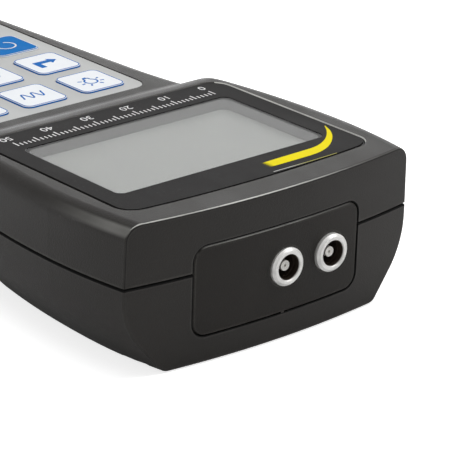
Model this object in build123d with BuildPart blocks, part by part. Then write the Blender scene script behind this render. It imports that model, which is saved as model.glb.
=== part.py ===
from build123d import *

import os
from math import cos, radians, sin, sqrt, tan

# A handheld ultrasonic thickness gauge lying on its back: the display and the keys face +Z,
# the probe sockets face +Y, and the handle runs towards -Y. The origin is on the table, under
# the middle of the gauge. Sizes are in millimetres and angles in degrees.

# Whole body
body_length = 149.8
head_width = 74.3
thickness = 32.1
wall = 2.2
keypad_drop = 3.3
parting_drop = 13.0

# Side line of the body seen from above, from the nose round to the tail
nose_side_radius = 132.0
nose_side_turn = 13.9
widest_from_nose = 25.6
head_side_radius = 197.0
head_side_turn = 9.1
shoulder_radius = 31.5
shoulder_turn = 4.6
waist_radius = 138.0
handle_taper = 2.6
tail_corner_radius = 16.0
tail_bow = 8.0

# End face: bowed in plan, and leaning back towards the bottom by this much a millimetre
nose_bow_radius = 185.0
nose_lean = 0.046

# Side section: a slightly drafted upper half, and a tub that curves in below it
side_draft = 1.0
tub_start_drop = 15.3
tub_radius = 16.9
tub_angle = 39.5
bottom_edge_radius = 2.2
rim_radius = 3.4
crisp_radius = 0.5

# Slope from the display deck down to the keypad deck
crest_from_nose = 59.3
crest_radius = 10.0
slope_angle = 25.0
valley_radius = 6.0

# Joint between the two housings
groove_height = 0.45
groove_depth = 0.5
groove_chamfer = 0.15
lip_height = 1.4
lip_thickness = 1.05
lip_clearance = 0.1

# Base pad that the gauge rests on
pad_height = 0.25
pad_overhang = 0.45
pad_from_nose = 13.3
pad_corner = 2.5

# Display
window_width = 51.9
window_length = 32.0
window_from_nose = 17.5
window_corner = 1.8
overlay_width = 61.6
overlay_from_nose = 7.1
overlay_length = 51.7
overlay_bow_radius = 260.0
overlay_corner = 4.5
overlay_thickness = 0.5
overlay_sink = 0.1
overlay_gap = 0.25
overlay_chamfer = 0.2
plate_thickness = 0.65
plate_gap = 0.1
neck_drop = 0.25
neck_lap = 0.6
neck_reach = 0.9
neck_clearance = 0.3
frame_roof = 0.6
glass_width = 58.0
glass_length = 37.6
glass_thickness = 2.0
glass_gap = 0.1
backlight_length = 31.0
frame_margin = 2.0
frame_corner = 1.5
strip_length = 50.0
strip_width = 1.6
strip_inset = 1.0

# Keypad: rows run down the handle, columns across it
key_rows = 4
key_columns = 3
key_pitch_x = 15.1
key_pitch_y = 15.9
key_width = 11.1
key_length = 12.0
key_corner = 1.8
key_edge = 0.3
key_from_nose = 76.5
key_rise = 0.4
key_gap = 0.12
key_seat_gap = 0.05
key_flange = 0.65
key_flange_thickness = 0.35
keypad_border_x = 3.25
keypad_border_y = 3.5
keypad_corner = 3.6
keypad_sink = 0.2
keypad_gap = 0.12
film_thickness = 0.35
spacer_thickness = 1.1
spacer_gap = 0.2
base_sheet_thickness = 0.4
dome_radius = 3.8
dome_height = 0.3
deck_thickness = 1.8
keypad_tail_width = 14.0
keypad_tail_inset = 4.0
keypad_tail_gap = 0.3

# End panel
panel_width = 41.4
panel_height = 19.0
panel_drop = 16.85
panel_corner = 3.2
panel_gap = 0.2
panel_chamfer = 0.25
panel_nib_x = -0.9
panel_nib_width = 0.8
panel_nib_gap = 0.05
panel_flange = 1.3
panel_flange_thickness = 1.2
panel_seat_gap = 0.05

# Probe sockets
socket_x = (-1.4, -12.7)
socket_drop = 16.5
socket_rise = 0.2
socket_sink = 0.1
socket_flange_radius = 3.9
socket_bevel = 0.5
socket_clearance = 0.1
socket_mouth_bevel = 0.15
socket_mouth_radius = 2.65
socket_mouth_length = 1.15
socket_groove_radius = 2.9
socket_groove_length = 0.8
socket_bore_radius = 2.5
socket_bore_depth = 8.0
socket_barrel_radius = 3.5
socket_barrel_length = 12.0
insulator_radius = 1.05
insulator_set_back = 1.3
insulator_hole_radius = 0.3
contact_pin_radius = 0.45
contact_hole_radius = 0.25
contact_hole_depth = 5.0
contact_set_back = 0.9
contact_tail = 3.0
nut_across_flats = 9.0
nut_thickness = 2.0
nut_pad_margin = 0.8
washer_radius = 4.6
washer_thickness = 0.5
thread_gap = 0.02

# Main board
board_drop = 8.0
board_thickness = 1.6
board_margin = 1.0
board_front_gap = 0.8
board_rear_from_tail = 15.0

# Housing screws, driven from below through the board into the upper bosses
front_screw_x = 23.6
front_screw_from_nose = 9.8
rear_screw_x = 20.0
rear_screw_from_nose = 68.3
screw_radius = 1.0
screw_head_radius = 1.9
screw_head_height = 1.5
screw_drive_radius = 0.8
screw_drive_depth = 0.8
screw_seat_height = 12.0
screw_bite = 3.0
screw_tip_room = 0.4
screw_hole_gap = 0.15
screw_well_gap = 0.3
boss_wall = 1.2
upper_boss_radius = 2.6

# Ribs
rib_thickness = 1.5
rib_gap = 0.1
floor_rib_height = 3.0
floor_rib_x = 12.0
stop_depth = 3.0
stop_lap = 1.2
stop_x = 15.0

# Battery cells and their contacts
cell_radius = 7.25
cell_body_length = 49.5
cell_edge = 0.8
cell_nub_radius = 2.75
cell_nub_length = 1.0
cell_gap = 0.7
contact_thickness = 0.4
contact_width = 9.0
contact_height = 9.0
contact_tab_width = 3.0
leaf_height = 3.6
leaf_width = 6.0
leaf_flat = 2.4
leaf_bend_radius = 0.8
leaf_end_room = 0.8
slot_gap = 0.2

# Battery bay and its sliding cover
bay_side_room = 0.95
bay_floor_gap = 0.25
bay_roof_gap = 0.5
bay_wall = 1.5
bay_rear_from_tail = 10.0
opening_side_room = 0.35
opening_front_lap = 1.0
cover_lift = 0.15
cover_ledge = 1.0
cover_tongue_thickness = 0.9
cover_tongue_reach = 1.2
cover_gap = 0.15
grip_rows = 6
grip_pitch = 1.8
grip_length = 14.0
grip_width = 0.9
grip_depth = 0.35
grip_from_front = 10.0

# Parts under the board: width, length, height and place of each
board_parts = (
    (14.0, 14.0, 1.4, 9.0, 31.0),
    (8.0, 12.0, 1.2, -10.0, 33.0),
    (11.0, 9.0, 6.0, -9.0, 52.0),
    (5.0, 7.0, 2.0, 12.0, 49.0),
)

# Places worked out from the sizes above
beyond = 8.0
tail_y = -(body_length + socket_rise) / 2
nose_y = tail_y + body_length
head_half = head_width / 2
parting_z = thickness - parting_drop
rim_z = thickness - keypad_drop
ceiling_z = thickness - wall
floor_z = pad_height + wall
root_z = pad_height + wall / 2

window_y = nose_y - window_from_nose - window_length / 2
overlay_front_y = nose_y - overlay_from_nose
overlay_rear_y = overlay_front_y - overlay_length
overlay_floor_z = thickness - overlay_sink - overlay_thickness
neck_top_z = overlay_floor_z - neck_drop
neck_width = window_width + 2 * neck_reach
neck_length = window_length + 2 * neck_reach
neck_corner = window_corner + neck_reach
frame_width = glass_width + 2 * frame_margin
frame_length = glass_length + 2 * frame_margin
frame_top_z = ceiling_z - neck_clearance
glass_top_z = frame_top_z - frame_roof
glass_bottom_z = glass_top_z - glass_thickness

board_top_z = thickness - board_drop
board_bottom_z = board_top_z - board_thickness
board_rear_y = tail_y + board_rear_from_tail

key_block_x = (key_columns - 1) * key_pitch_x + key_width
key_block_y = (key_rows - 1) * key_pitch_y + key_length
keypad_width = key_block_x + 2 * keypad_border_x
keypad_length = key_block_y + 2 * keypad_border_y
keypad_y = nose_y - key_from_nose - key_block_y / 2
keypad_stack = base_sheet_thickness + spacer_thickness + film_thickness
keypad_floor_z = rim_z - keypad_sink - keypad_stack
base_sheet_top_z = keypad_floor_z + base_sheet_thickness
film_bottom_z = base_sheet_top_z + spacer_thickness
deck_under_z = keypad_floor_z - deck_thickness
keypad_tail_y = keypad_y + keypad_length / 2 - keypad_tail_inset

panel_z = thickness - panel_drop
panel_top_z = panel_z + panel_height / 2
panel_bottom_z = panel_z - panel_height / 2
flange_seat = wall + panel_seat_gap
flange_back = flange_seat + panel_flange_thickness
socket_z = thickness - socket_drop
socket_front_y = nose_y + socket_rise

cell_spacing = 2 * cell_radius + cell_gap
opening_half = cell_spacing / 2 + cell_radius + opening_side_room
bay_half = cell_spacing / 2 + cell_radius + bay_side_room
rail_half = opening_half + cover_tongue_reach
tongue_bottom_z = cover_ledge + cover_gap
cover_top_z = tongue_bottom_z + cover_tongue_thickness
rail_top_z = cover_top_z + cover_gap
cell_z = cover_top_z + bay_floor_gap + cell_radius
bay_roof_z = cell_z + cell_radius + bay_roof_gap
cell_length = cell_body_length + cell_nub_length
bay_length = cell_length + leaf_height + 2 * contact_thickness
bay_rear_y = tail_y + bay_rear_from_tail
bay_front_y = bay_rear_y + bay_length
bay_y = (bay_front_y + bay_rear_y) / 2
opening_front_y = bay_front_y - opening_front_lap
rail_front_y = opening_front_y + cover_tongue_reach

screw_places = [
    (side * x, nose_y - from_nose)
    for side in (-1, 1)
    for x, from_nose in (
        (front_screw_x, front_screw_from_nose),
        (rear_screw_x, rear_screw_from_nose),
    )
]
screw_tip_z = board_top_z + screw_bite
screw_well_radius = screw_head_radius + screw_well_gap
lower_boss_radius = screw_well_radius + boss_wall


def nose_face_y(x, z):
    """Y of the bowed, leaning end face at one place on it."""
    bow = nose_bow_radius - sqrt(nose_bow_radius**2 - x**2)
    return nose_y - bow - nose_lean * (thickness - z)


board_front_y = (
    nose_face_y(head_half - wall - board_margin, board_bottom_z) - wall - board_front_gap
)


def save(piece, name):
    """Labels a finished piece and writes it to its own file."""
    piece.part.label = name
    export_step(piece.part, f"parts/{name}.step")


os.makedirs("parts", exist_ok=True)

# Side line: four arcs, the straight run of the handle, the tail corner and half of the tail,
# each tangent to the last
nose_turn = radians(nose_side_turn)
side_start = Vector(
    head_half - nose_side_radius * (1 - cos(nose_turn)),
    nose_y - widest_from_nose + nose_side_radius * sin(nose_turn),
)
side_heading = Vector(sin(nose_turn), -cos(nose_turn))
taper = radians(handle_taper)
tail_slope = tan(radians(tail_bow / 2))
corner_x = tail_corner_radius * (sin(radians(tail_bow)) - cos(taper))
corner_y = tail_corner_radius * (cos(radians(tail_bow)) - sin(taper))

with BuildLine() as side_line:
    run = JernArc(side_start, side_heading, nose_side_radius, -nose_side_turn)
    run = JernArc(run @ 1, run % 1, head_side_radius, -head_side_turn)
    run = JernArc(run @ 1, run % 1, shoulder_radius, -shoulder_turn)
    waist_turn = head_side_turn + shoulder_turn - handle_taper
    run = JernArc(run @ 1, run % 1, waist_radius, waist_turn)
    waist = run @ 1
    drop_to_tail = waist.Y - corner_y - tail_slope * (waist.X + corner_x) - tail_y
    handle_run = drop_to_tail / (cos(taper) - tail_slope * sin(taper))
    run = PolarLine(waist, handle_run, direction=run % 1)
    run = JernArc(run @ 1, run % 1, tail_corner_radius, -(90 - handle_taper - tail_bow))
    tail_radius = (run @ 1).X / sin(radians(tail_bow))
    run = JernArc(run @ 1, run % 1, tail_radius, -tail_bow)


def plan_outline(inset):
    """The body's plan, moved in all round by the inset, with its nose end left long."""
    with BuildSketch() as plan:
        with BuildLine():
            add(side_line.line)
            Polyline(side_line.line @ 1, (0, side_start.Y), side_line.line @ 0)
        make_face()
        mirror(about=Plane.YZ)
        offset(amount=-inset)
    return plan.sketch


def side_trim(inset):
    """What lies outside one side wall, swept along the side line from nose to tail."""
    section_plane = Plane(
        origin=side_start,
        x_dir=Vector(-side_heading.Y, side_heading.X),
        z_dir=side_heading,
    )
    lean = radians(tub_angle)
    arc_radius = tub_radius - inset
    edge_radius = max(bottom_edge_radius - inset, 0)
    tub_top = thickness - tub_start_drop
    curved_drop = arc_radius * sin(lean) + edge_radius * (1 - sin(lean))
    tub_straight = (tub_top - pad_height - inset - curved_drop) / cos(lean)
    top = thickness + beyond
    top_x = -inset - tan(radians(side_draft)) * (top - parting_z)
    with BuildPart() as trim:
        with BuildSketch(section_plane):
            with BuildLine():
                Polyline((top_x, top), (-inset, parting_z), (-inset, tub_top))
                run = JernArc((-inset, tub_top), (0, -1), arc_radius, -tub_angle)
                run = PolarLine(run @ 1, tub_straight, direction=run % 1)
                if edge_radius > 0:
                    run = JernArc(run @ 1, run % 1, edge_radius, tub_angle - 90)
                Polyline(
                    run @ 1,
                    ((run @ 1).X, -beyond),
                    (beyond, -beyond),
                    (beyond, top),
                    (top_x, top),
                )
            make_face()
        sweep(path=side_line.line)
    return trim.part


def housing_form(inset):
    """The body's closed outer form, or the same form moved inwards all over by the inset."""
    trim = side_trim(inset)
    fall = radians(slope_angle)
    fall_drop = (crest_radius + valley_radius) * (1 - cos(fall))
    slope_length = (keypad_drop - fall_drop) / sin(fall)
    bow_radius = nose_bow_radius - inset
    bow_half = head_half + beyond
    bow_y = nose_y - inset
    bow_side_y = bow_y - bow_radius + sqrt(bow_radius**2 - bow_half**2)
    with BuildPart() as form:
        with BuildSketch(Plane.XY.offset(pad_height + inset)):
            add(plan_outline(-beyond / 2))
        extrude(amount=thickness)
        # The display deck, the slope and the keypad deck, seen from the side
        with BuildSketch(Plane.YZ):
            with BuildLine():
                run = Line(
                    (nose_y + beyond, thickness - inset),
                    (nose_y - crest_from_nose, thickness - inset),
                )
                run = JernArc(run @ 1, (-1, 0), crest_radius - inset, slope_angle)
                run = PolarLine(run @ 1, slope_length, direction=run % 1)
                run = JernArc(run @ 1, run % 1, valley_radius + inset, -slope_angle)
                Polyline(
                    run @ 1,
                    (tail_y - beyond, (run @ 1).Y),
                    (tail_y - beyond, -beyond),
                    (nose_y + beyond, -beyond),
                    (nose_y + beyond, thickness - inset),
                )
            make_face()
        extrude(amount=bow_half, both=True, mode=Mode.INTERSECT)
        add(trim, mode=Mode.SUBTRACT)
        add(mirror(trim, about=Plane.YZ, mode=Mode.PRIVATE), mode=Mode.SUBTRACT)
        # The bowed end face, cut along its lean
        with BuildSketch(Plane.XY.offset(thickness)):
            with BuildLine():
                ThreePointArc((-bow_half, bow_side_y), (0, bow_y), (bow_half, bow_side_y))
                Polyline(
                    (bow_half, bow_side_y),
                    (bow_half, nose_y + 2 * beyond),
                    (-bow_half, nose_y + 2 * beyond),
                    (-bow_half, bow_side_y),
                )
            make_face()
        extrude(amount=-(thickness + beyond), dir=(0, nose_lean, 1), mode=Mode.SUBTRACT)
    return form.part


def crosses_middle(edge):
    """Whether an edge runs across the body ahead of the tail."""
    box = edge.bounding_box()
    return box.min.X < -1 and box.max.X > 1 and box.max.Y > tail_y + tail_corner_radius


def is_rim(edge):
    """Whether an edge is on the soft rim round the top of the body."""
    return edge.bounding_box().min.Z > rim_z - 0.05 and not crosses_middle(edge)


def is_recess_edge(edge):
    """Whether an edge is on the display deck, round the overlay's recess."""
    box = edge.bounding_box()
    return (
        box.min.Z > thickness - overlay_sink / 2
        and box.min.Y > overlay_rear_y - overlay_sink
        and box.max.Y < overlay_front_y + overlay_sink
        and max(-box.min.X, box.max.X) < overlay_width / 2 + overlay_sink
    )


# Outer form with its soft rim and a crisp edge round the end face
with BuildPart() as outer_form:
    add(housing_form(0))
    fillet(edges().filter_by(is_rim), radius=rim_radius)
    fillet(faces().sort_by(Axis.Y)[-1].edges(), radius=crisp_radius)

# The base pad reaches a little past the edge of the flat bottom
tub_lean = radians(tub_angle)
tub_drop = thickness - tub_start_drop - pad_height
tub_slope_drop = tub_drop - tub_radius * sin(tub_lean) - bottom_edge_radius * (1 - sin(tub_lean))
flat_inset = (
    tub_radius * (1 - cos(tub_lean))
    + tub_slope_drop * tan(tub_lean)
    + bottom_edge_radius * cos(tub_lean)
)
pad_front_y = nose_y - pad_from_nose

with BuildPart() as body_form:
    add(outer_form.part)
    with BuildSketch():
        add(plan_outline(flat_inset - pad_overhang))
        with Locations((0, (pad_front_y + tail_y) / 2)):
            Rectangle(head_width, pad_front_y - tail_y, mode=Mode.INTERSECT)
        fillet(vertices().group_by(Axis.Y)[-1], radius=pad_corner)
    extrude(amount=root_z)

cavity_form = housing_form(wall)

with BuildSketch() as overlay_recess:
    half = overlay_width / 2
    side_y = overlay_front_y - overlay_bow_radius + sqrt(overlay_bow_radius**2 - half**2)
    with BuildLine():
        ThreePointArc((-half, side_y), (0, overlay_front_y), (half, side_y))
        Polyline(
            (half, side_y),
            (half, overlay_rear_y),
            (-half, overlay_rear_y),
            (-half, side_y),
        )
    make_face()
    fillet(vertices(), radius=overlay_corner)

with BuildSketch(Plane.XZ.offset(-nose_y - beyond)) as panel_opening:
    with Locations((0, panel_z)):
        RectangleRounded(panel_width, panel_height, panel_corner)

panel_opening_y = nose_face_y(panel_width / 2, panel_bottom_z) - wall - rib_gap
panel_opening_depth = nose_y + beyond - panel_opening_y


def lip_block(inset, height, panel_room):
    """A slab above the parting plane, as wide as the body less the inset, open at the panel."""
    with BuildPart() as block:
        add(housing_form(inset))
        split(bisect_by=Plane.XY.offset(parting_z), keep=Keep.TOP)
        split(bisect_by=Plane.XY.offset(parting_z + height), keep=Keep.BOTTOM)
        with BuildSketch(Plane.XY.offset(parting_z)):
            with Locations((0, nose_y)):
                Rectangle(panel_width + 2 * panel_room, 2 * beyond)
        extrude(amount=height, mode=Mode.SUBTRACT)
    return block.part


lip_inset = wall - lip_thickness
lip_room = panel_flange + lip_clearance

# Room inside the upper housing, less the deck, bosses and ribs that stand in it
frame_rib_y = (window_y - window_length / 3, window_y + window_length / 3)
deck_rib_y = (keypad_y - key_pitch_y, keypad_y)
upper_stop_z = panel_top_z + panel_flange - stop_lap
upper_stop_y = nose_face_y(stop_x + rib_thickness, upper_stop_z) - flange_back - rib_gap

with BuildPart() as upper_room:
    add(cavity_form)
    with BuildSketch(Plane.XY.offset(deck_under_z)):
        with Locations((0, keypad_y)):
            Rectangle(head_width, keypad_length + 2 * deck_thickness)
    extrude(amount=deck_thickness + wall, mode=Mode.SUBTRACT)
    with BuildSketch(Plane.XY.offset(board_top_z)):
        with Locations(*screw_places):
            Circle(upper_boss_radius)
    extrude(amount=beyond, mode=Mode.SUBTRACT)
    with BuildSketch(Plane.XY.offset(board_top_z + rib_gap)):
        # Ribs on the side walls that steady the display frame
        for side in (-1, 1):
            rib_x = side * (frame_width / 2 + rib_gap + beyond / 2)
            with Locations(*[(rib_x, y) for y in frame_rib_y]):
                Rectangle(beyond, rib_thickness)
        # Ribs under the keypad deck that bear on the board
        with Locations(*[(0, y) for y in deck_rib_y]):
            Rectangle(head_width, rib_thickness)
    extrude(amount=beyond, mode=Mode.SUBTRACT)
    # Stops behind the end panel's flange
    with BuildSketch(Plane.XY.offset(upper_stop_z)):
        with Locations(*[(side * stop_x, upper_stop_y - stop_depth / 2) for side in (-1, 1)]):
            Rectangle(rib_thickness, stop_depth)
    extrude(amount=beyond, mode=Mode.SUBTRACT)

# The groove round the joint, cut into the outside of the upper housing
with BuildPart() as parting_groove:
    with BuildSketch(Plane.XY.offset(parting_z)):
        add(plan_outline(-beyond / 2))
    extrude(amount=groove_height)
    add(housing_form(groove_depth), mode=Mode.SUBTRACT)

with BuildPart() as upper_housing:
    add(body_form.part)
    split(bisect_by=Plane.XY.offset(parting_z), keep=Keep.TOP)
    add(parting_groove.part, mode=Mode.SUBTRACT)
    add(upper_room.part, mode=Mode.SUBTRACT)
    add(
        lip_block(lip_inset - lip_clearance, lip_height + lip_clearance, panel_flange),
        mode=Mode.SUBTRACT,
    )
    # Recess for the display overlay, and the opening for the display frame's neck
    with BuildSketch(Plane.XY.offset(overlay_floor_z)):
        add(overlay_recess.sketch)
    extrude(amount=beyond, mode=Mode.SUBTRACT)
    chamfer(edges().filter_by(is_recess_edge), length=overlay_chamfer)
    with BuildSketch(Plane.XY.offset(ceiling_z - wall)):
        with Locations((0, window_y)):
            RectangleRounded(
                neck_width + 2 * neck_clearance,
                neck_length + 2 * neck_clearance,
                neck_corner + neck_clearance,
            )
    extrude(amount=beyond, mode=Mode.SUBTRACT)
    # Recess for the keypad, with a slot for its tail
    with BuildSketch(Plane.XY.offset(keypad_floor_z)):
        with Locations((0, keypad_y)):
            RectangleRounded(
                keypad_width + 2 * keypad_gap,
                keypad_length + 2 * keypad_gap,
                keypad_corner + keypad_gap,
            )
    extrude(amount=beyond, mode=Mode.SUBTRACT)
    with BuildSketch(Plane.XY.offset(board_top_z)):
        with Locations((0, keypad_tail_y)):
            Rectangle(
                keypad_tail_width + 2 * keypad_tail_gap,
                base_sheet_thickness + 2 * keypad_tail_gap,
            )
    extrude(amount=beyond, mode=Mode.SUBTRACT)
    with BuildSketch(Plane.XY.offset(board_top_z)):
        with Locations(*screw_places):
            Circle(screw_radius + thread_gap)
    extrude(amount=screw_bite + screw_tip_room, mode=Mode.SUBTRACT)
    extrude(panel_opening.sketch, amount=panel_opening_depth, mode=Mode.SUBTRACT)
save(upper_housing, "upper_housing")

# Room inside the lower housing, less the ribs that stand in it
floor_rib_y = (window_y - window_length / 2, window_y + window_length / 3)
floor_rib_length = floor_rib_y[1] - bay_front_y
lower_stop_z = panel_bottom_z - panel_flange + stop_lap
lower_stop_y = nose_face_y(stop_x + rib_thickness, 0) - flange_back - rib_gap

with BuildPart() as lower_room:
    add(cavity_form)
    with BuildSketch(Plane.XY.offset(root_z)):
        with Locations(*[(0, y) for y in floor_rib_y]):
            Rectangle(head_width, rib_thickness)
        with Locations(*[(side * floor_rib_x, bay_front_y) for side in (-1, 1)]):
            Rectangle(
                rib_thickness,
                floor_rib_length,
                align=(Align.CENTER, Align.MIN),
            )
    extrude(amount=floor_z + floor_rib_height - root_z, mode=Mode.SUBTRACT)
    with BuildSketch(Plane.XY.offset(root_z)):
        with Locations(*[(side * stop_x, lower_stop_y - stop_depth / 2) for side in (-1, 1)]):
            Rectangle(rib_thickness, stop_depth)
    extrude(amount=lower_stop_z - root_z, mode=Mode.SUBTRACT)

# Screw bosses up to the board and the box of the battery bay, rooted in the walls
with BuildPart() as lower_fittings:
    with BuildSketch():
        with Locations(*screw_places):
            Circle(lower_boss_radius)
    extrude(amount=board_bottom_z)
    with BuildSketch():
        with Locations((0, bay_y)):
            Rectangle(2 * (bay_half + bay_wall), bay_length + 2 * bay_wall)
    extrude(amount=bay_roof_z + bay_wall)
    add(housing_form(wall / 2), mode=Mode.INTERSECT)

with BuildPart() as lower_housing:
    add(body_form.part)
    split(bisect_by=Plane.XY.offset(parting_z), keep=Keep.BOTTOM)
    chamfer(faces().sort_by(Axis.Z)[-1].edges(), length=groove_chamfer)
    add(lip_block(lip_inset, lip_height, lip_room))
    add(lower_room.part, mode=Mode.SUBTRACT)
    add(lower_fittings.part)
    # Screw wells and holes
    with BuildSketch():
        with Locations(*screw_places):
            Circle(screw_well_radius)
    extrude(amount=screw_seat_height, mode=Mode.SUBTRACT)
    with BuildSketch():
        with Locations(*screw_places):
            Circle(screw_radius + screw_hole_gap)
    extrude(amount=board_top_z, mode=Mode.SUBTRACT)
    # Opening under the cells, the rails on its sides and front, and the bay itself
    with BuildSketch(Plane.XY.offset(-beyond)):
        with Locations((0, opening_front_y)):
            Rectangle(2 * opening_half, body_length, align=(Align.CENTER, Align.MAX))
    extrude(amount=beyond + rail_top_z, mode=Mode.SUBTRACT)
    with BuildSketch(Plane.XY.offset(cover_ledge)):
        with Locations((0, rail_front_y)):
            Rectangle(2 * rail_half, body_length, align=(Align.CENTER, Align.MAX))
    extrude(amount=rail_top_z - cover_ledge, mode=Mode.SUBTRACT)
    with BuildSketch(Plane.XY.offset(cover_ledge)):
        with Locations((0, bay_y)):
            Rectangle(2 * bay_half, bay_length)
    extrude(amount=bay_roof_z - cover_ledge, mode=Mode.SUBTRACT)
    # Slots in the bay's roof for the tabs of the front contacts
    with BuildSketch(Plane.XY.offset(cell_z)):
        with Locations(*[(side * cell_spacing / 2, bay_front_y) for side in (-1, 1)]):
            Rectangle(
                contact_tab_width + 2 * slot_gap,
                contact_thickness + slot_gap,
                align=(Align.CENTER, Align.MAX),
            )
    extrude(amount=board_bottom_z - cell_z, mode=Mode.SUBTRACT)
    extrude(panel_opening.sketch, amount=panel_opening_depth, mode=Mode.SUBTRACT)
save(lower_housing, "lower_housing")

# End panel: a plate that fills the opening, a flange behind the wall, and a flat pad behind
# the sockets for their nuts
nut_pad_reach = nut_across_flats / 2 + nut_pad_margin
nut_pad_x = (min(socket_x) - nut_pad_reach, max(socket_x) + nut_pad_reach)
nut_pad_y = nose_face_y(nut_pad_x[0], socket_z - nut_pad_reach) - flange_back
socket_seat_y = (
    nose_face_y(min(socket_x) - socket_flange_radius, socket_z - socket_flange_radius)
    - socket_sink
)

with BuildPart() as panel_plate:
    with BuildSketch(Plane.XZ.offset(-nose_y - beyond)):
        add(panel_opening.sketch_local)
        offset(amount=-panel_gap)
    extrude(amount=2 * beyond)
    add(outer_form.part, mode=Mode.INTERSECT)
    chamfer(faces().sort_by(Axis.Y)[-1].edges(), length=panel_chamfer)

# A nib on the plate's lower edge that centres it in the opening
nib_height = panel_gap - panel_nib_gap
with BuildPart() as panel_nib:
    with BuildSketch(Plane.XZ.offset(-nose_y - beyond)):
        with Locations((panel_nib_x, panel_bottom_z + panel_nib_gap)):
            Rectangle(
                panel_nib_width,
                nib_height + panel_chamfer,
                align=(Align.CENTER, Align.MIN),
            )
    extrude(amount=2 * beyond)
    add(outer_form.part, mode=Mode.INTERSECT)

with BuildPart() as end_panel:
    with BuildSketch(Plane.XZ.offset(-nose_y - beyond)):
        add(panel_opening.sketch_local)
        offset(amount=panel_flange)
    extrude(amount=2 * beyond)
    add(housing_form(flange_seat), mode=Mode.INTERSECT)
    add(panel_plate.part)
    add(panel_nib.part)
    add(housing_form(flange_back), mode=Mode.SUBTRACT)
    with BuildSketch(Plane.XZ.offset(-nut_pad_y)):
        with Locations((sum(nut_pad_x) / 2, socket_z)):
            RectangleRounded(
                nut_pad_x[1] - nut_pad_x[0], 2 * nut_pad_reach, nut_pad_margin
            )
    extrude(amount=nut_pad_y - nose_face_y(0, socket_z) + flange_seat)
    # Flat seats for the socket flanges, and holes for their barrels
    with BuildSketch(Plane.XZ.offset(-nose_y - beyond)):
        with Locations(*[(x, socket_z) for x in socket_x]):
            Circle(socket_flange_radius + socket_clearance)
    extrude(amount=nose_y + beyond - socket_seat_y, mode=Mode.SUBTRACT)
    with BuildSketch(Plane.XZ.offset(-nose_y - beyond)):
        with Locations(*[(x, socket_z) for x in socket_x]):
            Circle(socket_barrel_radius + socket_clearance)
    extrude(amount=3 * beyond, mode=Mode.SUBTRACT)
save(end_panel, "end_panel")

# Probe sockets, each with its insulator, contact, washer and nut
insulator_front = -insulator_set_back
contact_front = insulator_front - contact_set_back
groove_end = -socket_mouth_length - socket_groove_length

for number, x in enumerate(socket_x, 1):
    radial_plane = Plane(
        origin=(x, socket_front_y, socket_z), x_dir=(1, 0, 0), z_dir=(0, 0, 1)
    )
    socket_axis = Axis((x, 0, socket_z), (0, 1, 0))
    with BuildPart() as probe_socket:
        with BuildSketch(radial_plane):
            with BuildLine():
                Polyline(
                    (socket_mouth_radius + socket_mouth_bevel, 0),
                    (socket_flange_radius - socket_bevel, 0),
                    (socket_flange_radius, -socket_bevel),
                    (socket_flange_radius, socket_seat_y - socket_front_y),
                    (socket_barrel_radius, socket_seat_y - socket_front_y),
                    (socket_barrel_radius, -socket_barrel_length),
                    (socket_bore_radius, -socket_barrel_length),
                    (socket_bore_radius, groove_end),
                    (socket_groove_radius, groove_end),
                    (socket_groove_radius, -socket_mouth_length),
                    (socket_mouth_radius, -socket_mouth_length),
                    (socket_mouth_radius, -socket_mouth_bevel),
                    close=True,
                )
            make_face()
        revolve(axis=socket_axis)
    save(probe_socket, f"probe_socket_{number}")

    with BuildPart() as socket_insulator:
        with BuildSketch(radial_plane):
            with BuildLine():
                Polyline(
                    (contact_pin_radius, contact_front),
                    (insulator_hole_radius, contact_front),
                    (insulator_hole_radius, insulator_front),
                    (insulator_radius, insulator_front),
                    (insulator_radius, -socket_bore_depth),
                    (socket_bore_radius, -socket_bore_depth),
                    (socket_bore_radius, -socket_barrel_length),
                    (contact_pin_radius, -socket_barrel_length),
                    close=True,
                )
            make_face()
        revolve(axis=socket_axis)
    save(socket_insulator, f"socket_insulator_{number}")

    with BuildPart() as socket_contact:
        with BuildSketch(radial_plane):
            with BuildLine():
                Polyline(
                    (contact_hole_radius, contact_front),
                    (contact_pin_radius, contact_front),
                    (contact_pin_radius, -socket_barrel_length - contact_tail),
                    (0, -socket_barrel_length - contact_tail),
                    (0, contact_front - contact_hole_depth),
                    (contact_hole_radius, contact_front - contact_hole_depth),
                    close=True,
                )
            make_face()
        revolve(axis=socket_axis)
    save(socket_contact, f"socket_contact_{number}")

    with BuildPart() as socket_washer:
        with BuildSketch(Plane.XZ.offset(-nut_pad_y)):
            with Locations((x, socket_z)):
                Circle(washer_radius)
                Circle(socket_barrel_radius + socket_clearance, mode=Mode.SUBTRACT)
        extrude(amount=washer_thickness)
    save(socket_washer, f"socket_washer_{number}")

    with BuildPart() as socket_nut:
        with BuildSketch(Plane.XZ.offset(-nut_pad_y + washer_thickness)):
            with Locations((x, socket_z)):
                RegularPolygon(nut_across_flats / 2, 6, major_radius=False)
                Circle(socket_barrel_radius + thread_gap, mode=Mode.SUBTRACT)
        extrude(amount=nut_thickness)
    save(socket_nut, f"socket_nut_{number}")

# Display, from the overlay down to the board
with BuildPart() as display_overlay:
    with BuildSketch(Plane.XY.offset(overlay_floor_z)):
        add(overlay_recess.sketch)
        offset(amount=-overlay_gap)
        with Locations((0, window_y)):
            RectangleRounded(
                window_width, window_length, window_corner, mode=Mode.SUBTRACT
            )
    extrude(amount=overlay_thickness)
save(display_overlay, "display_overlay")

with BuildPart() as display_window:
    with BuildSketch(Plane.XY.offset(neck_top_z)):
        with Locations((0, window_y)):
            RectangleRounded(
                window_width - 2 * plate_gap,
                window_length - 2 * plate_gap,
                window_corner - plate_gap,
            )
    extrude(amount=plate_thickness)
save(display_window, "display_window")

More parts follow.
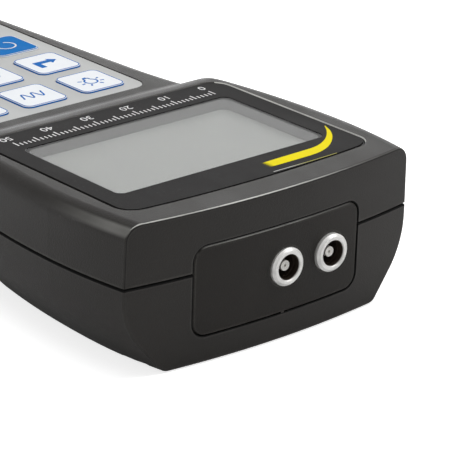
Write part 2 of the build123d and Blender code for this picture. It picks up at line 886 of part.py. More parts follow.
with BuildPart() as display_frame:
    with BuildSketch(Plane.XY.offset(board_top_z)):
        with Locations((0, window_y)):
            RectangleRounded(frame_width, frame_length, frame_corner)
    extrude(amount=frame_top_z - board_top_z)
    with BuildSketch(Plane.XY.offset(frame_top_z)):
        with Locations((0, window_y)):
            RectangleRounded(neck_width, neck_length, neck_corner)
    extrude(amount=neck_top_z - frame_top_z)
    with BuildSketch(Plane.XY.offset(board_top_z)):
        with Locations((0, window_y)):
            Rectangle(glass_width + 2 * glass_gap, glass_length + 2 * glass_gap)
    extrude(amount=glass_top_z - board_top_z, mode=Mode.SUBTRACT)
    with BuildSketch(Plane.XY.offset(board_top_z)):
        with Locations((0, window_y)):
            RectangleRounded(
                window_width - 2 * neck_lap, window_length - 2 * neck_lap, window_corner
            )
    extrude(amount=beyond, mode=Mode.SUBTRACT)
save(display_frame, "display_frame")

with BuildPart() as display_glass:
    with BuildSketch(Plane.XY.offset(glass_bottom_z)):
        with Locations((0, window_y)):
            Rectangle(glass_width, glass_length)
    extrude(amount=glass_thickness)
save(display_glass, "display_glass")

with BuildPart() as backlight:
    with BuildSketch(Plane.XY.offset(board_top_z)):
        with Locations((0, window_y)):
            Rectangle(glass_width, backlight_length)
    extrude(amount=glass_bottom_z - board_top_z)
save(backlight, "backlight")

strip_reach = glass_length / 2 - strip_inset - strip_width / 2
for name, side in (("front", 1), ("rear", -1)):
    with BuildPart() as connector_strip:
        with BuildSketch(Plane.XY.offset(board_top_z)):
            with Locations((0, window_y + side * strip_reach)):
                Rectangle(strip_length, strip_width)
        extrude(amount=glass_bottom_z - board_top_z)
    save(connector_strip, f"connector_strip_{name}")

# Main board, and the parts under it
with BuildPart() as main_board:
    with BuildSketch(Plane.XY.offset(board_bottom_z)):
        add(plan_outline(wall + board_margin))
        with Locations((0, (board_front_y + board_rear_y) / 2)):
            Rectangle(head_width, board_front_y - board_rear_y, mode=Mode.INTERSECT)
        with Locations(*screw_places):
            Circle(screw_radius + screw_hole_gap, mode=Mode.SUBTRACT)
    extrude(amount=board_thickness)
save(main_board, "main_board")

with BuildPart() as board_chips:
    for width, length, height, x, y in board_parts:
        with BuildSketch(Plane.XY.offset(board_bottom_z)):
            with Locations((x, y)):
                Rectangle(width, length)
        extrude(amount=-height)
save(board_chips, "board_chips")

# Keypad, from the base sheet up to the keys
with BuildPart() as keypad_base:
    with BuildSketch(Plane.XY.offset(keypad_floor_z)):
        with Locations((0, keypad_y)):
            RectangleRounded(keypad_width, keypad_length, keypad_corner)
    extrude(amount=base_sheet_thickness)
    with BuildSketch(Plane.XY.offset(board_top_z)):
        with Locations((0, keypad_tail_y)):
            Rectangle(keypad_tail_width, base_sheet_thickness)
    extrude(amount=base_sheet_top_z - board_top_z)
save(keypad_base, "keypad_base")

with BuildPart() as snap_dome:
    dome_curve = (dome_radius**2 + dome_height**2) / (2 * dome_height)
    with BuildSketch(Plane.XZ):
        with BuildLine():
            RadiusArc((0, dome_height), (dome_radius, 0), dome_curve)
            Polyline((dome_radius, 0), (0, 0), (0, dome_height))
        make_face()
    revolve(axis=Axis.Z)

with BuildPart() as key_domes:
    with Locations((0, keypad_y, base_sheet_top_z)):
        with GridLocations(key_pitch_x, key_pitch_y, key_columns, key_rows):
            add(snap_dome.part)
save(key_domes, "key_domes")

flange_width = key_width + 2 * key_flange
flange_length = key_length + 2 * key_flange
flange_corner = key_corner + key_flange

with BuildPart() as keypad_spacer:
    with BuildSketch(Plane.XY.offset(base_sheet_top_z)):
        with Locations((0, keypad_y)):
            RectangleRounded(keypad_width, keypad_length, keypad_corner)
            with GridLocations(key_pitch_x, key_pitch_y, key_columns, key_rows):
                RectangleRounded(
                    flange_width + 2 * spacer_gap,
                    flange_length + 2 * spacer_gap,
                    flange_corner + spacer_gap,
                    mode=Mode.SUBTRACT,
                )
    extrude(amount=spacer_thickness)
save(keypad_spacer, "keypad_spacer")

with BuildPart() as keypad_film:
    with BuildSketch(Plane.XY.offset(film_bottom_z)):
        with Locations((0, keypad_y)):
            RectangleRounded(keypad_width, keypad_length, keypad_corner)
            with GridLocations(key_pitch_x, key_pitch_y, key_columns, key_rows):
                RectangleRounded(
                    key_width + 2 * key_gap,
                    key_length + 2 * key_gap,
                    key_corner + key_gap,
                    mode=Mode.SUBTRACT,
                )
    extrude(amount=film_thickness)
save(keypad_film, "keypad_film")

flange_top_z = film_bottom_z - key_seat_gap
key_top_z = film_bottom_z + film_thickness + key_rise
for row in range(key_rows):
    for column in range(key_columns):
        key_x = (column - (key_columns - 1) / 2) * key_pitch_x
        key_y = keypad_y + ((key_rows - 1) / 2 - row) * key_pitch_y
        with BuildPart() as key:
            with BuildSketch(Plane.XY.offset(flange_top_z)):
                with Locations((key_x, key_y)):
                    RectangleRounded(key_width, key_length, key_corner)
            extrude(amount=key_top_z - flange_top_z)
            fillet(faces().sort_by(Axis.Z)[-1].edges(), radius=key_edge)
            with BuildSketch(Plane.XY.offset(flange_top_z - key_flange_thickness)):
                with Locations((key_x, key_y)):
                    RectangleRounded(flange_width, flange_length, flange_corner)
            extrude(amount=key_flange_thickness)
        save(key, f"key_{row + 1}_{column + 1}")

# Housing screws
with BuildPart() as housing_screw:
    with BuildSketch(Plane.XZ):
        with BuildLine():
            Polyline(
                (0, screw_seat_height - screw_head_height),
                (screw_head_radius, screw_seat_height - screw_head_height),
                (screw_head_radius, screw_seat_height),
                (screw_radius, screw_seat_height),
                (screw_radius, screw_tip_z),
                (0, screw_tip_z),
                close=True,
            )
        make_face()
    revolve(axis=Axis.Z)
    with BuildSketch(Plane.XY.offset(screw_seat_height - screw_head_height)):
        RegularPolygon(screw_drive_radius, 6)
    extrude(amount=screw_drive_depth, mode=Mode.SUBTRACT)

with BuildPart() as housing_screws:
    with Locations(*screw_places):
        add(housing_screw.part)
save(housing_screws, "housing_screws")

# Battery cover: a plate in the opening whose wider tongue slides in the rails
with BuildPart() as battery_cover:
    with BuildSketch(Plane.XY.offset(cover_lift)):
        with Locations((0, opening_front_y - cover_gap)):
            Rectangle(
                2 * (opening_half - cover_gap), body_length, align=(Align.CENTER, Align.MAX)
            )
    extrude(amount=cover_top_z - cover_lift)
    with BuildSketch(Plane.XY.offset(tongue_bottom_z)):
        with Locations((0, rail_front_y - cover_gap)):
            Rectangle(
                2 * (rail_half - cover_gap), body_length, align=(Align.CENTER, Align.MAX)
            )
    extrude(amount=cover_tongue_thickness)
    add(body_form.part, mode=Mode.INTERSECT)
    with BuildSketch(Plane.XY.offset(cover_lift)):
        with Locations((0, opening_front_y - grip_from_front)):
            with GridLocations(grip_pitch, grip_pitch, 1, grip_rows):
                SlotOverall(grip_length, grip_width)
    extrude(amount=grip_depth, mode=Mode.SUBTRACT)
save(battery_cover, "battery_cover")

# Battery cells lie head to tail, each with its nub end on a flat contact and its other end
# on a sprung leaf
cell_layout = (("left", -1, 1), ("right", 1, -1))
for name, side, facing in cell_layout:
    base_y = bay_y - facing * (bay_length / 2 - contact_thickness - leaf_height)
    cell_x = side * cell_spacing / 2
    cell_plane = Plane(
        origin=(cell_x, base_y, cell_z), x_dir=(facing, 0, 0), z_dir=(0, 0, 1)
    )
    with BuildPart() as battery_cell:
        with BuildSketch(cell_plane):
            with BuildLine():
                Polyline(
                    (0, 0),
                    (cell_radius - cell_edge, 0),
                    (cell_radius, cell_edge),
                    (cell_radius, cell_body_length - cell_edge),
                    (cell_radius - cell_edge, cell_body_length),
                    (cell_nub_radius, cell_body_length),
                    (cell_nub_radius, cell_length),
                    (0, cell_length),
                    close=True,
                )
            make_face()
        revolve(axis=Axis((cell_x, base_y, cell_z), (0, 1, 0)))
    save(battery_cell, f"battery_cell_{name}")


def sprung_leaf(x, wall_y, facing):
    """A bent leaf that stands off a bay end wall, facing along Y, at one cell."""
    root_y = wall_y + facing * contact_thickness / 2
    crest_y = wall_y + facing * (contact_thickness / 2 + leaf_height)
    low_z = cell_z - contact_height / 2 + leaf_end_room
    high_z = cell_z + contact_height / 2 - leaf_end_room
    with BuildPart() as leaf:
        with BuildSketch(Plane.YZ.offset(x)):
            with BuildLine():
                FilletPolyline(
                    (root_y, cell_z),
                    (root_y, low_z),
                    (crest_y, cell_z - leaf_flat / 2),
                    (crest_y, cell_z + leaf_flat / 2),
                    ((root_y + crest_y) / 2, high_z),
                    radius=leaf_bend_radius,
                )
            trace(line_width=contact_thickness)
        extrude(amount=leaf_width / 2, both=True)
    return leaf.part


for name, side, facing in cell_layout:
    cell_x = side * cell_spacing / 2
    with BuildPart() as battery_terminal:
        with BuildSketch(Plane.XZ.offset(-bay_front_y)):
            with Locations((cell_x, cell_z)):
                Rectangle(contact_width, contact_height)
            with Locations((cell_x, cell_z)):
                Rectangle(
                    contact_tab_width,
                    board_bottom_z - cell_z,
                    align=(Align.CENTER, Align.MIN),
                )
        extrude(amount=contact_thickness)
        if facing < 0:
            add(sprung_leaf(cell_x, bay_front_y, -1))
    save(battery_terminal, f"battery_terminal_{name}")

with BuildPart() as battery_bridge:
    with BuildSketch(Plane.XZ.offset(-bay_rear_y - contact_thickness)):
        with Locations((0, cell_z)):
            Rectangle(cell_spacing + contact_width, contact_height)
    extrude(amount=contact_thickness)
    add(sprung_leaf(-cell_spacing / 2, bay_rear_y, 1))
save(battery_bridge, "battery_bridge")
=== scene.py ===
from functools import partial
from math import cos, pi, radians, sin

import bmesh
import bpy
from mathutils import Matrix, Quaternion, Vector


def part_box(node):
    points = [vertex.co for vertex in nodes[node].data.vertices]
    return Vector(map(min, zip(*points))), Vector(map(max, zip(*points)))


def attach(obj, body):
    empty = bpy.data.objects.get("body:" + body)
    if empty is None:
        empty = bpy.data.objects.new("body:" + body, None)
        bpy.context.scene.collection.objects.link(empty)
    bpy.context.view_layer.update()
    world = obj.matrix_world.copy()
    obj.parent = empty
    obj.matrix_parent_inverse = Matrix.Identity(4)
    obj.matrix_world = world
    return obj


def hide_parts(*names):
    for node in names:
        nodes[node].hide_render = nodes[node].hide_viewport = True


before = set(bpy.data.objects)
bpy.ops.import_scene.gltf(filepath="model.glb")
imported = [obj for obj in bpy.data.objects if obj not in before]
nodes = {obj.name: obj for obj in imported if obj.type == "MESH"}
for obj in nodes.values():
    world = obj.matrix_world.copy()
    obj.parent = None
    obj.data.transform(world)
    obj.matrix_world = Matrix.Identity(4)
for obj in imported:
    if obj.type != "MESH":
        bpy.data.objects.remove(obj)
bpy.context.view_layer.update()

MM = 0.001
scene = bpy.context.scene

# Camera of the photograph: where it stands, and how it looks back at the gauge
CAMERA_PLACE = (0.30621, 0.43338, 0.21239)
CAMERA_AZIMUTH = 39.135
CAMERA_ELEVATION = 21.709
CAMERA_ROLL = -0.058
CAMERA_LENS = 212.8
CAMERA_CLIP = 0.01

# Prints: how far an ink stands on what carries it, and how far its foot is sunk
INK_RISE = 0.02 * MM
INK_SINK = 0.01 * MM
INK_HEIGHT = INK_RISE + INK_SINK
INK_MIDDLE = (INK_RISE - INK_SINK) / 2


def paint(red, green, blue):
    """A colour written in screen values from 0 to 255, as the linear colour a shader takes."""
    def linear(value):
        share = value / 255
        return share / 12.92 if share <= 0.04045 else ((share + 0.055) / 1.055) ** 2.4

    return (linear(red), linear(green), linear(blue), 1.0)


# Finishes
CHARCOAL = paint(34, 31, 28)
CHARCOAL_WORN = paint(98, 96, 91)
OVERLAY_GREY = paint(39, 38, 38)
# Painted highlight on the overlay film's cut sides at its far side
OVERLAY_EDGE_HIGHLIGHT = paint(150, 150, 148)
BEZEL_GREY = paint(88, 87, 84)
LCD_GREY = paint(155, 156, 152)
# Painted shade: in seams, on the overlay film's cut sides, and in the overlay's shade line
SHADE_BLACK = paint(10, 10, 10)
FILM_GREY = paint(194, 195, 194)
KEY_WHITE = paint(243, 246, 250)
KEY_BLUE = paint(0, 113, 190)
LINE_BLUE = paint(0, 108, 192)
# Painted highlight on edges of the housing and the end panel
HIGHLIGHT_GREY = paint(205, 205, 200)
PRINT_WHITE = paint(238, 238, 238)
STRIPE_YELLOW = paint(246, 228, 20)
LINE_YELLOW = paint(170, 166, 90)
LINE_GREY = paint(200, 200, 196)
NICKEL = paint(246, 245, 242)
BRASS = paint(110, 84, 44)
STEEL = paint(170, 170, 172)
# Painted shade inside the sockets' bores
BORE_SHADE = paint(66, 56, 48)
INSULATOR_CREAM = paint(252, 250, 244)
RUBBER_DARK = paint(30, 30, 32)
RUBBER_ROSE = paint(196, 160, 160)
RUBBER_PALE = paint(214, 184, 182)
MILKY_WHITE = paint(232, 232, 226)
MILKY_WORN = paint(240, 240, 236)
LAMINATE_GREEN = paint(28, 84, 52)
LAMINATE_EDGE = paint(150, 146, 96)
CHIP_BLACK = paint(34, 34, 36)
CHIP_WORN = paint(70, 70, 70)
SLEEVE_BLUE = paint(40, 66, 120)
SLEEVE_BAND = paint(198, 200, 204)
DUST = paint(190, 188, 184)
WHITE_LIGHT = (1.0, 1.0, 1.0, 1.0)


# Node trees

def feed(tree, socket, value):
    """Sets an input's value, or links another node's output to it."""
    if isinstance(value, bpy.types.NodeSocket):
        tree.links.new(value, socket)
    else:
        socket.default_value = value


def add_node(tree, kind, inputs=None, **settings):
    """Adds a node with its settings and its inputs, which are named or numbered."""
    node = tree.nodes.new(kind)
    for name, value in settings.items():
        setattr(node, name, value)
    for key, value in (inputs or {}).items():
        feed(tree, node.inputs[key], value)
    return node


def output_of(tree, kind, inputs=None, **settings):
    """Adds a node and gives its first output."""
    return add_node(tree, kind, inputs, **settings).outputs[0]


def math(operation, tree, value, *others):
    """Arithmetic on a value alone, or with each of the others in turn."""
    for other in others or (0.0,):
        value = output_of(tree, "ShaderNodeMath", {0: value, 1: other}, operation=operation)
    return value


plus, minus, times, ratio = (
    partial(math, operation) for operation in ("ADD", "SUBTRACT", "MULTIPLY", "DIVIDE")
)
highest, magnitude, is_past, is_under = (
    partial(math, operation)
    for operation in ("MAXIMUM", "ABSOLUTE", "GREATER_THAN", "LESS_THAN")
)


def mix_colour(tree, share, first, second):
    inputs = {0: share, 6: first, 7: second}
    return add_node(tree, "ShaderNodeMix", inputs, data_type="RGBA").outputs[2]


def ramp(tree, value, low, high, start=0.0, end=1.0):
    """Spreads a value between low and high over start to end, softly at both ends."""
    inputs = {"Value": value, "From Min": low, "From Max": high, "To Min": start, "To Max": end}
    return output_of(tree, "ShaderNodeMapRange", inputs, interpolation_type="SMOOTHSTEP")


def object_place(tree):
    return add_node(tree, "ShaderNodeTexCoord").outputs["Object"]


def split(tree, vector):
    return add_node(tree, "ShaderNodeSeparateXYZ", {0: vector}).outputs


def split_place(tree):
    return split(tree, object_place(tree))


def split_normal(tree):
    return split(tree, add_node(tree, "ShaderNodeNewGeometry").outputs["Normal"])


def noise(tree, place, scale, detail=3.0):
    inputs = {"Vector": place, "Scale": scale, "Detail": detail, "Roughness": 0.55}
    return output_of(tree, "ShaderNodeTexNoise", inputs)


def shade(colour, share):
    return tuple(value * share for value in colour[:3]) + (1.0,)


def add_socket(tree, label, way, kind="Float"):
    return tree.interface.new_socket(label, in_out=way, socket_type=f"NodeSocket{kind}")


def with_ends(tree):
    """A tree, what it takes, and what it gives."""
    take = tree.nodes.new("NodeGroupInput").outputs
    give = tree.nodes.new("NodeGroupOutput").inputs
    return tree, take, give


def start_group(name, takes, gives):
    """A shader node group with its named value inputs and outputs."""
    group = bpy.data.node_groups.new(name, "ShaderNodeTree")
    for label, value in takes.items():
        add_socket(group, label, "INPUT").default_value = value
    for label in gives:
        add_socket(group, label, "OUTPUT")
    return with_ends(group)


def moulded_texture():
    """The fine even grain that a moulded surface takes from its tool, with soft broad shading."""
    takes = {"Grain Size": 0.3 * MM, "Blotch Size": 30 * MM}
    group, take, give = start_group("moulded_texture", takes, ("Height", "Shade"))
    place = object_place(group)
    fine = noise(group, place, ratio(group, 1.0, take["Grain Size"]), 2.0)
    broad = noise(group, place, ratio(group, 1.0, take["Blotch Size"]), 3.0)
    feed(group, give["Height"], ramp(group, fine, 0.3, 0.7))
    fine_part = times(group, fine, 0.35)
    broad_part = times(group, broad, 0.65)
    feed(group, give["Shade"], ramp(group, plus(group, fine_part, broad_part), 0.35, 0.65))
    return group


def edge_wear():
    """Where an outer edge has been rubbed: high on sharp edges, broken up in patches."""
    takes = {"Radius": 0.9 * MM, "Patch Size": 8 * MM}
    group, take, give = start_group("edge_wear", takes, ("Mask",))
    rounded = output_of(group, "ShaderNodeBevel", {"Radius": take["Radius"]}, samples=6)
    true = add_node(group, "ShaderNodeNewGeometry").outputs["Normal"]
    inputs = {0: rounded, 1: true}
    dot = add_node(group, "ShaderNodeVectorMath", inputs, operation="DOT_PRODUCT")
    edge = ramp(group, minus(group, 1.0, dot.outputs["Value"]), 0.01, 0.06)
    place = object_place(group)
    patch = noise(group, place, ratio(group, 1.0, take["Patch Size"]))
    feed(group, give["Mask"], times(group, edge, ramp(group, patch, 0.3, 0.6)))
    return group


# How far a surface has to turn forwards or aside, up or out before it takes a painted highlight
TURNS_OVER = (0.28, 0.45)
TURNS_UP = (0.55, 0.7)
TURNS_OUT = (0.5, 0.68)
LEAVES_LEVEL = (0.2, 0.5)


def rubbed_edges():
    """Painted highlights on edges: at the front, along the side near it, and at the recess's far
    side.
    """
    takes = {"Front": 70 * MM, "Height": 20 * MM, "Side": -30 * MM, "Deck": 30 * MM}
    group, take, give = start_group("rubbed_edges", takes, ("Mask",))
    normal, place = split_normal(group), split_place(group)

    def past(axis, limit):
        return is_past(group, place[axis], limit)

    up = ramp(group, normal["Z"], *TURNS_UP)
    above = past("Z", take["Height"])
    aside = ramp(group, place["X"], -24 * MM, 8 * MM, 0.12, 1.0)
    ahead = times(group, past("Y", take["Front"]), above, aside)
    front = times(group, ramp(group, normal["Y"], *TURNS_OVER), up, ahead)
    beyond = minus(group, 1.0, past("X", take["Side"]))
    far = times(
        group, ramp(group, normal["X"], *TURNS_OVER), up, beyond, past("Z", take["Deck"])
    )
    to_front = minus(group, place["Y"], take["Front"])
    near_front = ramp(group, to_front, -25 * MM, 5 * MM, 0.0, 0.3)
    outward = times(
        group, ramp(group, normal["X"], *TURNS_OUT), ramp(group, normal["Z"], *LEAVES_LEVEL)
    )
    side = times(group, outward, near_front, above, past("X", 0.0))
    patch = ramp(group, noise(group, object_place(group), 40.0, 4.0), 0.25, 0.55, 0.5, 1.0)
    feed(group, give["Mask"], times(group, highest(group, front, far, side), patch))
    return group


def handling_marks():
    """Faint smears that hands leave, drawn out along the gauge."""
    group, take, give = start_group("handling_marks", {"Smear Size": 12 * MM}, ("Mask",))
    stretch = {"Vector": object_place(group), "Scale": (1.0, 0.35, 1.0)}
    stretched = output_of(group, "ShaderNodeMapping", stretch)
    smear = noise(group, stretched, ratio(group, 1.0, take["Smear Size"]), 4.0)
    feed(group, give["Mask"], ramp(group, smear, 0.45, 0.75))
    return group


def settled_dust():
    """Fine dust on what faces up."""
    group, take, give = start_group("settled_dust", {"Speck Size": 0.6 * MM}, ("Mask",))
    place = object_place(group)
    specks = noise(group, place, ratio(group, 1.0, take["Speck Size"]), 5.0)
    drifts = noise(group, place, 60.0, 2.0)
    mask = times(group, ramp(group, specks, 0.58, 0.72), ramp(group, drifts, 0.3, 0.8))
    up = ramp(group, split_normal(group)["Z"], 0.5, 0.95)
    feed(group, give["Mask"], times(group, mask, up))
    return group


def seam_dirt():
    """Painted shade in narrow seams, where little light comes in."""
    group, take, give = start_group("seam_dirt", {"Reach": 0.6 * MM}, ("Mask",))
    inputs = {"Distance": take["Reach"]}
    open_share = add_node(group, "ShaderNodeAmbientOcclusion", inputs, samples=8).outputs["AO"]
    feed(group, give["Mask"], ramp(group, open_share, 0.2, 0.6, 1.0, 0.0))
    return group


def turned_rings():
    """Fine rings that a lathe tool leaves round an axis along Y."""
    takes = {"Axis X": 0.0, "Axis Z": 0.0, "Ring Pitch": 0.12 * MM}
    group, take, give = start_group("turned_rings", takes, ("Height", "Shade", "Reach"))
    place = split_place(group)
    across = minus(group, place["X"], take["Axis X"])
    above = minus(group, place["Z"], take["Axis Z"])
    squares = plus(group, times(group, across, across), times(group, above, above))
    reach = math("SQRT", group, squares)
    along = ratio(group, plus(group, reach, place["Y"]), take["Ring Pitch"])
    inputs = {"W": along, "Scale": 1.0, "Detail": 2.0}
    rings = output_of(group, "ShaderNodeTexNoise", inputs, noise_dimensions="1D")
    feed(group, give["Reach"], reach)
    feed(group, give["Height"], rings)
    feed(group, give["Shade"], ramp(group, rings, 0.3, 0.7))
    return group


EFFECTS = (moulded_texture, edge_wear, rubbed_edges, handling_marks, settled_dust, seam_dirt)
GROUPS = {build.__name__: build() for build in (*EFFECTS, turned_rings)}


def use_group(tree, name, **inputs):
    """Places a shared group; its inputs are given with an underscore for each space."""
    node = tree.nodes.new("ShaderNodeGroup")
    node.node_tree = GROUPS[name]
    for key, value in inputs.items():
        feed(tree, node.inputs[key.replace("_", " ").title()], value)
    return node.outputs


def start_material(name, specular=0.5):
    """A new material, its tree and its Principled shader."""
    material = bpy.data.materials.new(name)
    material.use_nodes = True
    shader = material.node_tree.nodes["Principled BSDF"]
    shader.inputs["Specular IOR Level"].default_value = specular
    return material, material.node_tree, shader


def lay_on(tree, shader, colour, rough, height, depth):
    """Gives a shader its colour, its roughness, and a relief of this depth in metres."""
    relief = {"Height": height, "Distance": depth, "Strength": 1.0}
    feed(tree, shader.inputs["Base Color"], colour)
    feed(tree, shader.inputs["Roughness"], rough)
    feed(tree, shader.inputs["Normal"], output_of(tree, "ShaderNodeBump", relief))


def moulded_plastic(
    name, colour, worn, roughness, specular=0.5, grain=0.3 * MM, depth=0.02 * MM,
    wear=0.35, dust=0.06, spread=0.12, over=None, highlight=0.0, seam_shade=None,
):
    """A textured moulding: grain in its bump, soft tone, smears in its gloss, pale worn edges,
    painted highlights and seam shade.
    """
    material, tree, shader = start_material(name, specular)
    texture = use_group(tree, "moulded_texture", grain_size=grain)
    worn_share = times(tree, use_group(tree, "edge_wear")["Mask"], wear)
    dark, pale = shade(colour, 1 - spread), shade(colour, 1 + spread)
    shaded = mix_colour(tree, texture["Shade"], dark, pale)
    if over:
        shaded = over(tree, shaded)
    shaded = mix_colour(tree, worn_share, shaded, worn)
    # Painted highlights on edges, mixed in as pale grey
    if highlight:
        edges = use_group(tree, "rubbed_edges", **EDGE_LIMITS)
        bright = times(tree, edges["Mask"], highlight)
        shaded = mix_colour(tree, bright, shaded, HIGHLIGHT_GREY)
    dusty = times(tree, use_group(tree, "settled_dust")["Mask"], dust)
    shaded = mix_colour(tree, dusty, shaded, DUST)
    gloss = times(tree, use_group(tree, "handling_marks")["Mask"], -0.08)
    grit = times(tree, texture["Shade"], 0.06)
    rough = plus(tree, gloss, grit, roughness)
    # Painted shade in seams: near black, and rough so that it hardly shines
    if seam_shade:
        deep = seam_shade(tree)
        shaded = mix_colour(tree, deep, shaded, SHADE_BLACK)
        rough = highest(tree, rough, deep)
    lay_on(tree, shader, shaded, rough, texture["Height"], depth)
    return material


def dress(material, *names):
    """Gives a CAD node's every material slot this finish."""
    for name in names:
        for slot in nodes[name].material_slots:
            slot.material = material


# Housings, end panel and display
PANEL_FLANGE = 1.3 * MM
PANEL_CORNER = 3.2 * MM
PANEL_SEAM_HALF = 0.22 * MM
PARTING_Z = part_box("upper_housing")[0].z
PARTING_HALF = 0.23 * MM
SEAM_SHIFT = 0.05 * MM
END_EDGE_STARTS = (0.76, 0.84)
END_EDGE_STOPS = (0.92, 0.965, 0.7, 0.0)
EDGE_LIMITS = {
    "front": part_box("upper_housing")[1].y - 6 * MM,
    "height": PARTING_Z + 2 * MM,
    "side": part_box("display_overlay")[0].x + 1 * MM,
    "deck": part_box("display_overlay")[1].z - 0.5 * MM,
}


# Painted shade from the occlusion group, in narrow seams
def seam_mask(tree):
    return use_group(tree, "seam_dirt")["Mask"]


def panel_seam(tree, place):
    """Painted shade along the seam round the end panel: a rounded rectangle about the panel's
    middle.
    """
    low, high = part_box("end_panel")
    middle, half = (low + high) / 2, (high - low) / 2
    beyond = []
    for axis, centre, reach in (("X", middle.x, half.x), ("Z", middle.z, half.z)):
        away = magnitude(tree, minus(tree, place[axis], centre))
        past = minus(tree, away, reach - PANEL_FLANGE - PANEL_CORNER)
        positive = highest(tree, past, 0.0)
        beyond.append(times(tree, positive, positive))
    reach = math("SQRT", tree, plus(tree, *beyond))
    across = magnitude(tree, minus(tree, reach, PANEL_CORNER - SEAM_SHIFT))
    return is_under(tree, across, PANEL_SEAM_HALF)


def end_edge(tree, place):
    """Painted shade on the crisp edge round the end face of the upper housing, darker than what it
    parts.
    """
    facing = split_normal(tree)["Y"]
    starts, stops = ramp(tree, facing, *END_EDGE_STARTS), ramp(tree, facing, *END_EDGE_STOPS)
    above = is_past(tree, place["Z"], PARTING_Z)
    return times(tree, starts, stops, above)


def housing_seams(tree):
    """Painted shade in narrow seams, along the parting line between the two housings, and round
    the end face.
    """
    place = split_place(tree)
    # Painted shade: a black band along the parting line
    from_parting = minus(tree, place["Z"], PARTING_Z - SEAM_SHIFT)
    parting = is_under(tree, magnitude(tree, from_parting), PARTING_HALF)
    at_end = is_past(tree, place["Y"], EDGE_LIMITS["front"])
    ends = highest(tree, panel_seam(tree, place), end_edge(tree, place))
    return highest(tree, seam_mask(tree), parting, times(tree, ends, at_end))


housing_finish = moulded_plastic(
    "housing_plastic", CHARCOAL, CHARCOAL_WORN, 0.36,
    specular=0.36, highlight=1.0, seam_shade=housing_seams,
)
dress(housing_finish, "upper_housing", "lower_housing", "battery_cover")
panel_finish = moulded_plastic(
    "panel_plastic", CHARCOAL, CHARCOAL_WORN, 0.42,
    specular=0.25, highlight=0.35, seam_shade=seam_mask,
)
dress(panel_finish, "end_panel")


def cut_edge(tree, shaded):
    """Painted shade, black, on the overlay film's cut sides, and a painted highlight, pale, on
    those at its far side.
    """
    normal = split_normal(tree)
    side = mix_colour(tree, ramp(tree, normal["X"], -0.5, -0.2), OVERLAY_EDGE_HIGHLIGHT, SHADE_BLACK)
    return mix_colour(tree, ramp(tree, normal["Z"], 0.4, 0.8), side, shaded)


overlay_finish = moulded_plastic(
    "overlay_film", OVERLAY_GREY, CHARCOAL_WORN, 0.6,
    specular=0.15, grain=0.16 * MM, depth=0.006 * MM, wear=0.1, over=cut_edge,
)
dress(overlay_finish, "display_overlay")
bezel_finish = moulded_plastic(
    "bezel_plastic", BEZEL_GREY, BEZEL_GREY, 0.6, depth=0.004 * MM, wear=0.1, spread=0.05
)
dress(bezel_finish, "display_frame")


def lcd_face():
    """The panel's polariser: a pale, even grey with a faint fine weave of its pixels."""
    material, tree, shader = start_material("lcd_face", 0.3)
    texture = use_group(tree, "moulded_texture", grain_size=0.2 * MM, blotch_size=40 * MM)
    shaded = mix_colour(tree, texture["Shade"], shade(LCD_GREY, 0.97), LCD_GREY)
    rough = ramp(tree, texture["Shade"], 0.0, 1.0, 0.42, 0.5)
    lay_on(tree, shader, shaded, rough, texture["Height"], 0.0004 * MM)
    return material


dress(lcd_face(), "display_glass")


def clear_plate():
    """The clear window plate, with faint smears in its gloss."""
    material, tree, shader = start_material("clear_plate")
    shader.inputs["Base Color"].default_value = (0.97, 0.98, 0.98, 1.0)
    shader.inputs["Transmission Weight"].default_value = 1.0
    shader.inputs["IOR"].default_value = 1.49
    smears = use_group(tree, "handling_marks", smear_size=10 * MM)["Mask"]
    feed(tree, shader.inputs["Roughness"], ramp(tree, smears, 0.0, 1.0, 0.0, 0.03))
    return material


dress(clear_plate(), "display_window")

# Keypad
FOOT_LINE = 0.24 * MM
FOOT_BLEND = 0.05 * MM

film_finish = moulded_plastic(
    "keypad_film", FILM_GREY, FILM_GREY, 0.5,
    specular=0.3, grain=0.2 * MM, depth=0.006 * MM, wear=0.0, spread=0.03,
)
dress(film_finish, "keypad_film", "keypad_base", "keypad_spacer")


def key_cap(name, face, foot):
    """A raised membrane key: its printed face, and a line of another colour round its foot."""
    material, tree, shader = start_material(name, 0.05)
    texture = use_group(tree, "moulded_texture", grain_size=0.2 * MM, blotch_size=6 * MM)
    printed = mix_colour(tree, texture["Shade"], shade(face, 0.97), face)
    foot_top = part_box("keypad_film")[1].z + FOOT_LINE
    above = ramp(tree, split_place(tree)["Z"], foot_top, foot_top + FOOT_BLEND)
    shaded = mix_colour(tree, above, foot, printed)
    rough = ramp(tree, texture["Shade"], 0.0, 1.0, 0.5, 0.6)
    lay_on(tree, shader, shaded, rough, texture["Height"], 0.004 * MM)
    return material


key_white_finish = key_cap("key_white", KEY_WHITE, LINE_BLUE)
key_blue_finish = key_cap("key_blue", KEY_BLUE, KEY_WHITE)
BLUE_KEY = "key_3_1"
key_names = sorted(name for name in nodes if name.startswith("key_") and name[4].isdigit())
for name in key_names:
    dress(key_blue_finish if name == BLUE_KEY else key_white_finish, name)


# Sockets: their metal takes painted shade in the bore, within this radius and behind this depth
BORE_REACH = 3.05 * MM
BORE_START = 0.2 * MM
BORE_BLEND = 0.3 * MM


def turned_metal(name, colour, roughness, axis_x=0.0, axis_z=0.0, shade_behind=None, metallic=1.0):
    """Bright plated metal with fine tool rings and a little tarnish, with painted shade inside a
    bore.
    """
    material, tree, shader = start_material(name)
    rings = use_group(tree, "turned_rings", axis_x=axis_x, axis_z=axis_z)
    marks = use_group(tree, "handling_marks", smear_size=3 * MM)["Mask"]
    plated = mix_colour(tree, marks, colour, shade(colour, 0.8))
    # Painted shade in the bore
    if shade_behind is not None:
        along = split_place(tree)["Y"]
        behind = ramp(tree, along, shade_behind - BORE_BLEND, shade_behind, 1.0, 0.0)
        within = is_under(tree, rings["Reach"], BORE_REACH)
        plated = mix_colour(tree, times(tree, behind, within), plated, BORE_SHADE)
    shader.inputs["Metallic"].default_value = metallic
    rough = plus(tree, times(tree, rings["Shade"], 0.12), roughness)
    lay_on(tree, shader, plated, rough, rings["Height"], 0.003 * MM)
    return material


